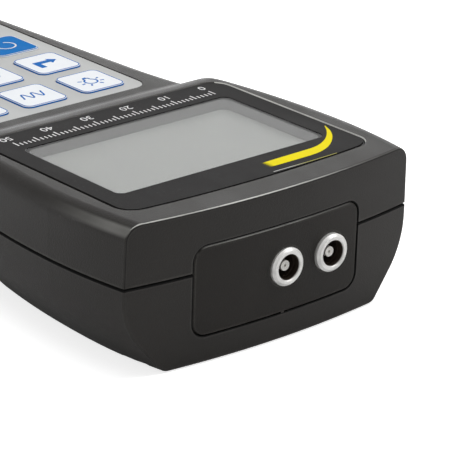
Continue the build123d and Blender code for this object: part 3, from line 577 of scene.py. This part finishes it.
insulator_finish = moulded_plastic(
    "insulator_plastic", INSULATOR_CREAM, INSULATOR_CREAM, 0.4, wear=0.0, spread=0.04
)
for number in (1, 2):
    socket = f"probe_socket_{number}"
    low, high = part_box(socket)
    axis, shade_behind = (low + high) / 2, high.y - BORE_START
    nickel = turned_metal(f"nickel_{number}", NICKEL, 0.4, axis.x, axis.z, shade_behind, 0.45)
    dress(nickel, socket, f"socket_nut_{number}", f"socket_washer_{number}")
    brass = turned_metal(f"brass_{number}", BRASS, 0.25, axis.x, axis.z)
    dress(brass, f"socket_contact_{number}")
    dress(insulator_finish, f"socket_insulator_{number}")

# Inside: the last three are shares of half a cell's length
LAYER_PITCH = 0.4 * MM
TRACK_PITCH = 1.27 * MM
BAND_STARTS = (0.62, 0.63)
BAND_STOPS = (0.8, 0.81)
METAL_STARTS = (0.945, 0.95)

dress(
    turned_metal("spring_steel", STEEL, 0.3),
    "key_domes", "battery_bridge", "battery_terminal_left", "battery_terminal_right",
)


def striped_rubber():
    """The display's connector strips: fine dark layers in pale rubber, one after another."""
    material, tree, shader = start_material("strip_rubber", 0.3)
    along = times(tree, split_place(tree)["X"], 2 * pi / LAYER_PITCH)
    layer = ramp(tree, math("SINE", tree, along), -0.3, 0.3)
    mottle = noise(tree, object_place(tree), 2500.0)
    pale = mix_colour(tree, mottle, RUBBER_ROSE, RUBBER_PALE)
    shaded = mix_colour(tree, layer, RUBBER_DARK, pale)
    lay_on(tree, shader, shaded, ramp(tree, mottle, 0.3, 0.7, 0.7, 0.85), layer, 0.01 * MM)
    return material


dress(striped_rubber(), "connector_strip_front", "connector_strip_rear")
dress(moulded_plastic("backlight_plastic", MILKY_WHITE, MILKY_WORN, 0.4, spread=0.03), "backlight")


def board_laminate():
    """Green solder mask over copper runs, on woven laminate that shows at the cut edge."""
    material, tree, shader = start_material("board_laminate")
    place = split_place(tree)
    runs = math("SINE", tree, times(tree, place["X"], 2 * pi / TRACK_PITCH))
    sections = noise(tree, object_place(tree), 70.0, 1.0)
    copper = times(tree, ramp(tree, runs, 0.2, 0.5), ramp(tree, sections, 0.48, 0.52))
    mask = mix_colour(tree, copper, LAMINATE_GREEN, shade(LAMINATE_GREEN, 1.7))
    edge = ramp(tree, magnitude(tree, split_normal(tree)["Z"]), 0.4, 0.8)
    shaded = mix_colour(tree, edge, LAMINATE_EDGE, mask)
    weave = noise(tree, object_place(tree), 1400.0)
    lay_on(tree, shader, shaded, ramp(tree, weave, 0.3, 0.7, 0.25, 0.4), copper, 0.03 * MM)
    return material


dress(board_laminate(), "main_board")
dress(moulded_plastic("chip_plastic", CHIP_BLACK, CHIP_WORN, 0.55), "board_chips")


def cell_sleeve(name):
    """A battery cell: a plain printed sleeve with a pale band, and bright metal at both ends."""
    material, tree, shader = start_material(name)
    low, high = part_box(name)
    middle_y, reach = (low.y + high.y) / 2, (high.y - low.y) / 2
    texture = use_group(tree, "moulded_texture", grain_size=0.25 * MM, blotch_size=15 * MM)
    from_middle = magnitude(tree, minus(tree, split_place(tree)["Y"], middle_y))
    sleeve = mix_colour(tree, texture["Shade"], shade(SLEEVE_BLUE, 0.9), SLEEVE_BLUE)
    starts, stops, metal = (
        ramp(tree, from_middle, near * reach, far * reach)
        for near, far in (BAND_STARTS, BAND_STOPS, METAL_STARTS)
    )
    printed = mix_colour(tree, minus(tree, starts, stops), sleeve, SLEEVE_BAND)
    feed(tree, shader.inputs["Metallic"], metal)
    shaded = mix_colour(tree, metal, printed, STEEL)
    rough = ramp(tree, texture["Shade"], 0.0, 1.0, 0.26, 0.36)
    lay_on(tree, shader, shaded, rough, texture["Height"], 0.003 * MM)
    return material


for name in ("battery_cell_left", "battery_cell_right"):
    dress(cell_sleeve(name), name)


# Prints, as thin solid shapes on the overlay and the keys. Along X the stripe fades out and the
# thin line changes its colour, each between two places.
STRIPE_FADE = (-7.2 * MM, -5.4 * MM)
LINE_TURN = (-14 * MM, -8 * MM)


def ink(name, colour, fade=None, far_colour=None, specular=0.05):
    """Screen-printed ink: slightly mottled, finely pitted, and fading or turning along X."""
    material, tree, shader = start_material(name, specular)
    texture = use_group(tree, "moulded_texture", grain_size=0.12 * MM, blotch_size=8 * MM)
    printed = mix_colour(tree, texture["Shade"], shade(colour, 0.92), colour)
    across = split_place(tree)["X"]
    if far_colour:
        turned = ramp(tree, across, *LINE_TURN, 1.0, 0.0)
        printed = mix_colour(tree, turned, printed, far_colour)
    rough = ramp(tree, texture["Shade"], 0.0, 1.0, 0.45, 0.6)
    lay_on(tree, shader, printed, rough, texture["Height"], 0.003 * MM)
    if fade:
        feed(tree, shader.inputs["Alpha"], ramp(tree, across, *fade, 1.0, 0.0))
    return material


yellow_ink = ink("yellow_ink", STRIPE_YELLOW, fade=STRIPE_FADE)
line_ink = ink("line_ink", LINE_GREY, far_colour=LINE_YELLOW)
white_ink = ink("white_ink", PRINT_WHITE)
# Painted shade, laid as a line of black ink along the overlay's near sides
black_ink = ink("black_ink", SHADE_BLACK, specular=0.0)
blue_ink = ink("blue_ink", LINE_BLUE)


# Shapes
WELD = 0.0005 * MM
LEVEL = 0.01 * MM


def add_object(name, data):
    made = bpy.data.objects.new(name, data)
    scene.collection.objects.link(made)
    return made


def plain_mesh(carrier):
    """What an object's text or modifiers make, as a plain mesh. The object itself goes."""
    view = bpy.context.evaluated_depsgraph_get()
    mesh = bpy.data.meshes.new_from_object(carrier.evaluated_get(view), depsgraph=view)
    bpy.data.objects.remove(carrier)
    return mesh


def end_mesh(work, name):
    """Ends the work on a shape: its mesh, with this name."""
    mesh = bpy.data.meshes.new(name)
    work.to_mesh(mesh)
    work.free()
    return mesh


def keep_piece(name, mesh, material, body="housing"):
    """Makes a finished mesh a piece that rides on its body."""
    work = bmesh.new()
    work.from_mesh(mesh)
    bmesh.ops.remove_doubles(work, verts=work.verts, dist=WELD)
    bmesh.ops.recalc_face_normals(work, faces=work.faces)
    mesh = end_mesh(work, name)
    mesh.materials.append(material)
    piece = add_object(name, mesh)
    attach(piece, body)
    return piece


def slab(name, outline, surface_z):
    """A thin slab of ink with this outline, in metres, on a level surface."""
    work = bmesh.new()
    low, high = (
        [work.verts.new((x, y, surface_z + rise)) for x, y in outline]
        for rise in (-INK_SINK, INK_RISE)
    )
    work.faces.new(high)
    work.faces.new(low[::-1])
    for number in range(len(outline)):
        following = (number + 1) % len(outline)
        work.faces.new((low[number], low[following], high[following], high[number]))
    return end_mesh(work, name)


def smooth_line(points, steps=8):
    """A line through these points, rounded between them."""
    points = [Vector(point) for point in points]
    ends = [2 * points[0] - points[1], *points, 2 * points[-1] - points[-2]]
    smooth = []
    for before, start, end, after in zip(ends, ends[1:], ends[2:], ends[3:]):
        for step in range(steps):
            t = step / steps
            smooth.append(
                start
                + (end - before) * t / 2
                + (2 * before - 5 * start + 4 * end - after) * t**2 / 2
                + (3 * start - before - 3 * end + after) * t**3 / 2
            )
    return smooth + [points[-1]]


def band(name, outer, inner, surface_z):
    """A thin band of ink between two lines of as many points, in millimetres."""
    work = bmesh.new()
    rows = []
    for side in (outer, inner):
        for rise in (-INK_SINK, INK_RISE):
            rows.append([work.verts.new((x * MM, y * MM, surface_z + rise)) for x, y in side])
    low_outer, high_outer, low_inner, high_inner = rows
    ring = (low_outer, high_outer, high_inner, low_inner)
    for number in range(len(outer) - 1):
        for near, far in zip(ring, ring[1:] + ring[:1]):
            work.faces.new((near[number], near[number + 1], far[number + 1], far[number]))
    work.faces.new([row[0] for row in ring])
    work.faces.new([row[-1] for row in ring[::-1]])
    return end_mesh(work, name)


def top_outline(name):
    """The outer outline of a node's flat top face, in millimetres, in order."""
    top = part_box(name)[1].z
    work = bmesh.new()
    work.from_mesh(nodes[name].data)
    bmesh.ops.remove_doubles(work, verts=work.verts, dist=WELD)
    steps = {}
    for edge in work.edges:
        here, there = edge.verts
        level = all(abs(vertex.co.z - top) < LEVEL for vertex in edge.verts)
        if level and sum(face.normal.z > 0.9 for face in edge.link_faces) == 1:
            steps.setdefault(here, []).append(there)
            steps.setdefault(there, []).append(here)
    start = here = min(steps, key=lambda vertex: vertex.co.x)
    outline, before = [], None
    while not outline or here != start:
        outline.append(here.co.xy / MM)
        before, here = here, next(there for there in steps[here] if there != before)
    work.free()
    return outline


def near_margin(outline, distances):
    """A closed outline moved inwards by each distance, where it runs along the near sides."""
    earlier, later = outline[-1:] + outline[:-1], outline[1:] + outline[:1]
    turn = sum(here.cross(after) for here, after in zip(outline, later))
    moved = [[] for distance in distances]
    for before, here, after in zip(earlier, outline, later):
        along = (after - before).normalized()
        inward = Vector((-along.y, along.x)) if turn > 0 else Vector((along.y, -along.x))
        if inward.x + inward.y < 0:
            for row, distance in zip(moved, distances):
                row.append(here + inward * distance)
    return moved


# On the overlay: a painted shade line along its near sides, between these distances from its edge,
# and prints: the outer and inner sides of the stripe and of the thin line in front of it, in
# millimetres
SHADE_LINE_SIDES = (0.05, 0.34)
STRIPE_SIDES = (
    (
        (-5.4, 63.9), (-11.5, 63.95), (-17.4, 63.8), (-20.6, 63.0), (-23.0, 61.7),
        (-25.3, 59.8), (-27.2, 57.7), (-28.7, 55.3), (-29.7, 52.7),
    ),
    (
        (-5.4, 61.25), (-11.0, 61.05), (-16.8, 60.95), (-19.5, 60.8), (-21.7, 60.2),
        (-23.9, 59.0), (-25.9, 57.4), (-27.9, 55.2), (-29.6, 52.6),
    ),
)
LINE_SIDES = (
    ((-4.6, 66.45), (-13.0, 66.45), (-21.0, 66.3)),
    ((-4.6, 66.2), (-13.0, 66.2), (-21.0, 66.05)),
)
overlay_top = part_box("display_overlay")[1].z
for name, sides, printed in (
    ("overlay_margin", near_margin(top_outline("display_overlay"), SHADE_LINE_SIDES), black_ink),
    ("overlay_stripe", [smooth_line(side) for side in STRIPE_SIDES], yellow_ink),
    ("overlay_line", [smooth_line(side) for side in LINE_SIDES], line_ink),
):
    keep_piece(name, band(name, *sides, overlay_top), printed)


# Shapes that repeat, as Geometry Nodes trees with named sizes

def start_shape_tree(name, sizes=(), counts=(), places=()):
    """A tree that takes a geometry, these named values and a finish, and gives a geometry."""
    tree = bpy.data.node_groups.new(name, "GeometryNodeTree")
    add_socket(tree, "Geometry", "OUTPUT", "Geometry")
    add_socket(tree, "Geometry", "INPUT", "Geometry")
    kinds = {"Float": sizes, "Int": counts, "Vector": places, "Material": ["Finish"]}
    for kind, labels in kinds.items():
        for label in labels:
            add_socket(tree, label, "INPUT", kind)
    return with_ends(tree)


def end_shape_tree(tree, take, give, shape):
    whole = output_of(tree, "GeometryNodeRealizeInstances", {"Geometry": shape})
    inputs = {"Geometry": whole, "Material": take["Finish"]}
    feed(tree, give["Geometry"], output_of(tree, "GeometryNodeSetMaterial", inputs))
    return tree


def run_shape_tree(tree, name, source=None, **values):
    """Runs a tree on a source mesh and gives its result as a plain mesh."""
    carrier = add_object(name, source or bpy.data.meshes.new(name))
    modifier = carrier.modifiers.new("shape", "NODES")
    modifier.node_group = tree
    for item in tree.interface.items_tree:
        key = item.name.replace(" ", "_").lower()
        if item.in_out == "INPUT" and key in values:
            modifier[item.identifier] = values[key]
    return plain_mesh(carrier)


def line_section(tree, take):
    """The section of a printed line: its width and its height."""
    inputs = {"Width": take["Line Width"], "Height": take["Line Height"]}
    return output_of(tree, "GeometryNodeCurvePrimitiveQuadrilateral", inputs)


def key_outline_tree():
    """A printed line round a key: a rounded rectangle swept with the line's section."""
    sizes = ("Width", "Length", "Corner", "Line Width", "Line Height")
    tree, take, give = start_shape_tree("key_outline", sizes, places=["Place"])
    inputs = {"Width": take["Width"], "Height": take["Length"]}
    path = output_of(tree, "GeometryNodeCurvePrimitiveQuadrilateral", inputs)
    inputs = {"Curve": path, "Count": 6, "Radius": take["Corner"]}
    rounded = output_of(tree, "GeometryNodeFilletCurve", inputs, mode="POLY")
    inputs = {"Curve": rounded, "Profile Curve": line_section(tree, take)}
    swept = output_of(tree, "GeometryNodeCurveToMesh", inputs)
    inputs = {"Geometry": swept, "Translation": take["Place"]}
    placed = output_of(tree, "GeometryNodeTransform", inputs)
    return end_shape_tree(tree, take, give, placed)


def drawn_line_tree():
    """Printed lines along the edges of the source mesh, swept with the line's section."""
    tree, take, give = start_shape_tree("drawn_line", ("Line Width", "Line Height"))
    path = output_of(tree, "GeometryNodeMeshToCurve", {"Mesh": take["Geometry"]})
    inputs = {"Curve": path, "Profile Curve": line_section(tree, take), "Fill Caps": True}
    swept = output_of(tree, "GeometryNodeCurveToMesh", inputs)
    return end_shape_tree(tree, take, give, swept)


def tick_scale_tree():
    """A printed scale: even ticks that hang from a base line, every fifth one longer."""
    sizes = ("Pitch", "Tick Width", "Short Tick", "Long Tick", "Line Height")
    tree, take, give = start_shape_tree("tick_scale", sizes, ["Count"], ["Place"])
    index = output_of(tree, "GeometryNodeInputIndex")
    step = output_of(tree, "ShaderNodeCombineXYZ", {"X": take["Pitch"]})
    inputs = {"Count": take["Count"], "Start Location": take["Place"], "Offset": step}
    row = output_of(tree, "GeometryNodeMeshLine", inputs)
    fifth = math("COMPARE", tree, math("MODULO", tree, index, 5.0), 0.0)
    inputs = {"Switch": fifth, "False": take["Short Tick"], "True": take["Long Tick"]}
    reach = output_of(tree, "GeometryNodeSwitch", inputs, input_type="FLOAT")
    inputs = {"X": take["Tick Width"], "Y": 1.0, "Z": take["Line Height"]}
    size = output_of(tree, "ShaderNodeCombineXYZ", inputs)
    block = output_of(tree, "GeometryNodeMeshCube", {"Size": size})
    hang = output_of(tree, "ShaderNodeCombineXYZ", {"Y": -0.5})
    inputs = {"Geometry": block, "Translation": hang}
    hung = output_of(tree, "GeometryNodeTransform", inputs)
    stretch = output_of(tree, "ShaderNodeCombineXYZ", {"X": 1.0, "Y": reach, "Z": 1.0})
    inputs = {"Points": row, "Instance": hung, "Scale": stretch}
    ticks = output_of(tree, "GeometryNodeInstanceOnPoints", inputs)
    return end_shape_tree(tree, take, give, ticks)


key_outline = key_outline_tree()
drawn_line = drawn_line_tree()
tick_scale = tick_scale_tree()

# A scale of generic ticks and numbers behind the display
SCALE_START = (-25 * MM, 23.2 * MM)
SCALE_PITCH = 1 * MM
SCALE_TICKS = 50
TICKS_A_FIGURE = 10
TICK_WIDTH = 0.3 * MM
SHORT_TICK = 1.3 * MM
LONG_TICK = 2.3 * MM
FIGURE_HEIGHT = 2.9 * MM
FIGURES_Y = 17.6 * MM
mesh = run_shape_tree(
    tick_scale, "scale_ticks", place=(*SCALE_START, overlay_top + INK_MIDDLE),
    count=SCALE_TICKS + 1, pitch=SCALE_PITCH, tick_width=TICK_WIDTH,
    short_tick=SHORT_TICK, long_tick=LONG_TICK, line_height=INK_HEIGHT, finish=white_ink,
)
keep_piece("scale_ticks", mesh, white_ink)


def figures_mesh(number):
    """A printed number, centred under its tick."""
    text = bpy.data.curves.new("figures", "FONT")
    text.body = str(number)
    text.size = FIGURE_HEIGHT
    text.align_x = "CENTER"
    text.extrude = INK_HEIGHT / 2
    mesh = plain_mesh(add_object("figures", text))
    x = SCALE_START[0] + number * SCALE_PITCH
    mesh.transform(Matrix.Translation((x, FIGURES_Y, overlay_top + INK_MIDDLE)))
    return mesh


figures = bmesh.new()
for number in range(0, SCALE_TICKS + 1, TICKS_A_FIGURE):
    figures.from_mesh(figures_mesh(number))
keep_piece("scale_figures", end_mesh(figures, "scale_figures"), white_ink)

# Prints on the keys: an outline, and a sign in millimetres about the key's middle, upright to +Y
OUTLINE_INSET = 0.24 * MM
OUTLINE_WIDTH = 0.2 * MM
KEY_CORNER = 1.8 * MM
KEY_FLANGE = 0.65 * MM
SIGN_LINE = 0.4 * MM
LAMP_MIDDLE = (0.0, 0.45)


def arc(radius, start, end, centre=(0.0, 0.0), steps=24):
    """Points along an arc, in degrees, and whether it closes on itself."""
    whole = abs(end - start) >= 360
    count = steps if whole else steps + 1
    angles = [radians(start + (end - start) * step / steps) for step in range(count)]
    return [(centre[0] + radius * cos(a), centre[1] + radius * sin(a)) for a in angles], whole


def line(*points):
    return points, False


def ray(angle, near, far, centre=(0.0, 0.0)):
    way = Vector((cos(radians(angle)), sin(radians(angle))))
    return line(Vector(centre) + way * near, Vector(centre) + way * far)


# Each sign: its drawn lines, and the outlines of its filled shapes
SIGNS = {
    "key_1_1": ([
        arc(1.45, -62, 242, LAMP_MIDDLE),
        line((-0.68, -0.82), (-0.62, -1.7)),
        line((0.68, -0.82), (0.62, -1.7)),
        line((-0.66, -1.72), (0.66, -1.72)),
        line((-0.42, -2.15), (0.42, -2.15)),
        *[ray(angle, 2.05, 3.0, LAMP_MIDDLE) for angle in (-25, 17, 59, 121, 163, 205)],
    ], []),
    "key_1_2": ([line(*[(x / 8, 1.5 * sin(pi * x / 10)) for x in range(-24, 25)])], []),
    "key_1_3": ([], [[(-2.2, -1.5), (2.2, -1.5), (0.0, 2.2)]]),
    "key_2_1": ([], [[
        (2.9, 2.4), (1.5, 2.4), (1.5, -0.1), (-1.2, -0.1), (-1.2, 0.75),
        (-3.1, -0.85), (-1.2, -2.45), (-1.2, -1.6), (2.9, -1.6),
    ]]),
    "key_2_2": ([arc(2.0, 0, 360)], [arc(0.6, 0, 360)[0]]),
    "key_2_3": ([], [[(-2.2, 1.5), (0.0, -2.2), (2.2, 1.5)]]),
    "key_3_1": ([arc(2.3, -40, 250)], [[(1.0, -2.6), (3.0, -2.3), (1.7, -0.6)]]),
    "key_3_2": ([line((-2.2, y), (2.2, y)) for y in (-1.4, 0.0, 1.4)], []),
    "key_3_3": ([line((-2.1, 0.0), (2.1, 0.0)), line((0.0, -2.1), (0.0, 2.1))], []),
    "key_4_1": ([arc(2.0, 125, 415), line((0.0, 0.6), (0.0, 2.7))], []),
    "key_4_2": (
        [arc(1.5, 0, 360), *[ray(angle, 0.9, 2.6) for angle in (0, 90, 180, 270)]], [],
    ),
    "key_4_3": ([line((-2.1, 0.0), (2.1, 0.0))], []),
}


def outline_mesh(key, label, printed):
    """The line round a key's face."""
    low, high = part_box(key)
    middle, size, less = (low + high) / 2, high - low, 2 * (KEY_FLANGE + OUTLINE_INSET)
    return run_shape_tree(
        key_outline, label, place=(middle.x, middle.y, high.z + INK_MIDDLE),
        width=size.x - less, length=size.y - less, corner=KEY_CORNER - OUTLINE_INSET,
        line_width=OUTLINE_WIDTH, line_height=INK_HEIGHT, finish=printed,
    )


def drawn_mesh(paths, label, printed):
    """Lines swept along paths, which are points in metres that may close on themselves."""
    source = bpy.data.meshes.new(label)
    places, edges = [], []
    for points, closed in paths:
        first = len(places)
        places += points
        last = len(places) - 1
        edges += [(number, number + 1) for number in range(first, last)]
        if closed:
            edges.append((last, first))
    source.from_pydata(places, edges, [])
    return run_shape_tree(
        drawn_line, label, source, line_width=SIGN_LINE, line_height=INK_HEIGHT, finish=printed
    )


def sign_mesh(key, label, printed):
    """A key's sign: its drawn lines and its filled shapes."""
    low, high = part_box(key)
    middle = (low + high) / 2

    def placed(points, *height):
        return [(middle.x + x * MM, middle.y + y * MM, *height) for x, y in points]

    lines, fills = SIGNS[key]
    join = bmesh.new()
    if lines:
        paths = [(placed(points, high.z + INK_MIDDLE), closed) for points, closed in lines]
        join.from_mesh(drawn_mesh(paths, label, printed))
    for outline in fills:
        join.from_mesh(slab(label, placed(outline), high.z))
    return end_mesh(join, label)


for word, make in (("outline", outline_mesh), ("sign", sign_mesh)):
    for name in key_names:
        printed, slot = (white_ink, "key_white") if name == BLUE_KEY else (blue_ink, "key_blue")
        label = name.replace("key", word)
        button = name.replace("key", "button")
        keep_piece(label, make(name, label, printed), printed, button)


# Housing screws: pan heads with a cross recess, seen in their wells from below
SCREW_HEAD = 1.9 * MM
SCREW_SHANK = 1 * MM
SCREW_SEAT_Z = 12 * MM
THREAD_DEPTH = 0.12 * MM
THREAD_PITCH = 0.4 * MM
CROSS_WIDTH = 0.55 * MM
CROSS_LENGTH = 2.3 * MM
CROSS_DEPTH = 0.85 * MM
CROSS_TAPER = 0.72
CROSS_RUN_OUT = 0.4 * MM
THREAD_START = 0.3 * MM
THREAD_END = 1.2 * MM
POINT_LENGTH = 0.8 * MM
SCREW_SEED = 4


def lathe(work, profile, steps=32):
    """A closed solid turned from a profile of radius and height pairs that ends on the axis."""
    rings = []
    for radius, height in profile:
        if radius == 0:
            rings.append([work.verts.new((0, 0, height))])
        else:
            turns = [2 * pi * step / steps for step in range(steps)]
            places = [(radius * cos(turn), radius * sin(turn), height) for turn in turns]
            rings.append([work.verts.new(place) for place in places])
    for lower, upper in zip(rings, rings[1:]):
        for step in range(steps):
            following = (step + 1) % steps
            corners = ((lower, step), (lower, following), (upper, following), (upper, step))
            work.faces.new(dict.fromkeys(ring[turn % len(ring)] for ring, turn in corners))


def screw_body(bottom, top):
    """A screw standing on its head: rounded head, seat, and a thread of fine ridges."""
    root = SCREW_SHANK - THREAD_DEPTH
    profile = [
        (0, bottom),
        (SCREW_HEAD - 0.5 * MM, bottom),
        (SCREW_HEAD - 0.15 * MM, bottom + 0.15 * MM),
        (SCREW_HEAD, bottom + 0.5 * MM),
        (SCREW_HEAD, SCREW_SEAT_Z - 0.1 * MM),
        (SCREW_HEAD - 0.1 * MM, SCREW_SEAT_Z),
        (root, SCREW_SEAT_Z),
    ]
    height = SCREW_SEAT_Z + THREAD_START
    while height < top - THREAD_END:
        profile += [(root, height), (SCREW_SHANK, height + THREAD_PITCH / 2)]
        height += THREAD_PITCH
    profile += [(root, top - POINT_LENGTH), (0, top)]
    work = bmesh.new()
    lathe(work, profile)
    bmesh.ops.recalc_face_normals(work, faces=work.faces)
    return end_mesh(work, "screw")


def cross_cutter(bottom):
    """The cross that is cut into a screw's head, narrower towards its depth."""
    work = bmesh.new()
    for width, length in ((CROSS_WIDTH, CROSS_LENGTH), (CROSS_LENGTH, CROSS_WIDTH)):
        for corner in bmesh.ops.create_cube(work, size=1.0)["verts"]:
            deep = corner.co.z > 0
            taper = CROSS_TAPER if deep else 1.0
            corner.co.x *= width * taper
            corner.co.y *= length * taper
            corner.co.z = bottom + (CROSS_DEPTH if deep else -CROSS_RUN_OUT)
    return end_mesh(work, "cross")


def screw_mesh():
    low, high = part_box("housing_screws")
    cutter = add_object("cross", cross_cutter(low.z))
    carrier = add_object("screw", screw_body(low.z, high.z))
    cut = carrier.modifiers.new("recess", "BOOLEAN")
    cut.operation, cut.object, cut.solver, cut.use_self = "DIFFERENCE", cutter, "EXACT", True
    mesh = plain_mesh(carrier)
    bpy.data.objects.remove(cutter)
    return mesh


def screw_tree(screw):
    """One screw at each point of the source mesh, turned by a fixed random angle."""
    tree, take, give = start_shape_tree("housing_screws", counts=["Seed"])
    sample = add_node(tree, "GeometryNodeObjectInfo", {"Object": screw})
    inputs = {"Max": 2 * pi, "Seed": take["Seed"]}
    turn = add_node(tree, "FunctionNodeRandomValue", inputs, data_type="FLOAT").outputs[1]
    turned = output_of(tree, "ShaderNodeCombineXYZ", {"Z": turn})
    screw = sample.outputs["Geometry"]
    inputs = {"Points": take["Geometry"], "Instance": screw, "Rotation": turned}
    driven = output_of(tree, "GeometryNodeInstanceOnPoints", inputs)
    return end_shape_tree(tree, take, give, driven)


def screw_centres():
    """Where the CAD screws stand, one in each corner of their box."""
    low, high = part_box("housing_screws")
    middle_y = (low.y + high.y) / 2
    corners = {}
    for vertex in nodes["housing_screws"].data.vertices:
        corner = (vertex.co.x > 0, vertex.co.y > middle_y)
        corners.setdefault(corner, []).append(vertex.co)
    centres = []
    for corner in sorted(corners):
        xs, ys, _ = zip(*corners[corner])
        centres.append(((min(xs) + max(xs)) / 2, (min(ys) + max(ys)) / 2, 0.0))
    return centres


screw_finish = turned_metal("screw_steel", STEEL, 0.3)
sample_screw = bpy.data.objects.new("sample_screw", screw_mesh())
points = bpy.data.meshes.new("screw_places")
points.from_pydata(screw_centres(), [], [])
mesh = run_shape_tree(
    screw_tree(sample_screw), "screws", points, seed=SCREW_SEED, finish=screw_finish
)
bpy.data.objects.remove(sample_screw)
screws = keep_piece("screws", mesh, screw_finish)
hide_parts("housing_screws")


# Light: soft boxes round the gauge, each with its place, size and power in watts, an even pale
# surround, and a white sheet under the gauge
SOFT_BOXES = {
    "soft_box_above": ((-0.05, -0.05, 0.9), (0.8, 0.8), 3.9),
    "soft_box_left": ((0.72, -0.32, 0.2), (0.25, 0.3), 0.3),
    "soft_box_front": ((-0.47, 0.37, 0.65), (0.22, 0.22), 2.2),
    "soft_box_back": ((-0.52, -0.70, 0.1), (0.5, 0.12), 0.5),
}
SURROUND_LEVEL = 0.36
HORIZON_LEVEL = 0.64
CEILING_LEVEL = 0.25
HORIZON_END = sin(radians(23))
CEILING_START = sin(radians(40))
FLOOR_REACH = 4.0
FLOOR_LEVEL = 0.75
FLOOR_GLINT = 0.05


def soft_box(name, place, size, power):
    """A rectangular lamp that looks at the gauge's middle."""
    data = bpy.data.lights.new(name, "AREA")
    data.shape = "RECTANGLE"
    data.size, data.size_y = size
    data.energy = power
    lamp = add_object(name, data)
    lamp.location = place
    lamp.rotation_mode = "QUATERNION"
    lamp.rotation_quaternion = (-Vector(place)).to_track_quat("-Z", "Y")


for name, settings in SOFT_BOXES.items():
    soft_box(name, *settings)


def seen_directly(tree):
    """Whether a ray comes from the camera, straight or through glass, or from what shines."""
    seen = add_node(tree, "ShaderNodeLightPath").outputs
    direct = highest(tree, seen["Is Camera Ray"], seen["Is Transmission Ray"])
    return direct, seen["Is Glossy Ray"]


def studio_surround():
    """White to the camera and through glass. What shines sees a bright horizon, dimmer above."""
    world = bpy.data.worlds.new("studio_surround")
    world.use_nodes = True
    scene.world = world
    tree = world.node_tree
    background = tree.nodes["Background"]
    direct, glossy = seen_directly(tree)
    way = add_node(tree, "ShaderNodeTexCoord").outputs["Generated"]
    height = split(tree, way)["Z"]
    mirrored = ramp(tree, height, HORIZON_END, CEILING_START, HORIZON_LEVEL, CEILING_LEVEL)
    shown = highest(tree, direct, times(tree, mirrored, glossy), SURROUND_LEVEL)
    background.inputs["Color"].default_value = WHITE_LIGHT
    feed(tree, background.inputs["Strength"], shown)


studio_surround()


def pale_floor():
    """A white sheet that shows white to the camera and keeps the gauge's soft shadow."""
    mesh = bpy.data.meshes.new("floor")
    turns = ((-1, -1), (1, -1), (1, 1), (-1, 1))
    corners = [(x * FLOOR_REACH, y * FLOOR_REACH, 0) for x, y in turns]
    mesh.from_pydata(corners, [], [(0, 1, 2, 3)])
    material, tree, shader = start_material("floor_paper", 0.0)
    shader.inputs["Base Color"].default_value = (FLOOR_LEVEL, FLOOR_LEVEL, FLOOR_LEVEL, 1.0)
    shader.inputs["Roughness"].default_value = 1.0
    direct, glossy = seen_directly(tree)
    glow, glint = times(tree, direct, FLOOR_LEVEL), times(tree, glossy, FLOOR_GLINT)
    shader.inputs["Emission Color"].default_value = WHITE_LIGHT
    feed(tree, shader.inputs["Emission Strength"], highest(tree, glow, glint))
    mesh.materials.append(material)
    add_object("floor", mesh)


pale_floor()

camera_data = bpy.data.cameras.new("photo_camera")
camera_data.lens = CAMERA_LENS
camera_data.clip_start = CAMERA_CLIP
camera = add_object("photo_camera", camera_data)
azimuth, elevation = radians(CAMERA_AZIMUTH), radians(CAMERA_ELEVATION)
back = Vector((sin(azimuth) * cos(elevation), cos(azimuth) * cos(elevation), sin(elevation)))
camera.location = CAMERA_PLACE
camera.rotation_mode = "QUATERNION"
roll = Quaternion((0, 0, 1), radians(CAMERA_ROLL))
camera.rotation_quaternion = (-back).to_track_quat("-Z", "Y") @ roll
scene.camera = camera
scene.view_settings.view_transform = "Standard"
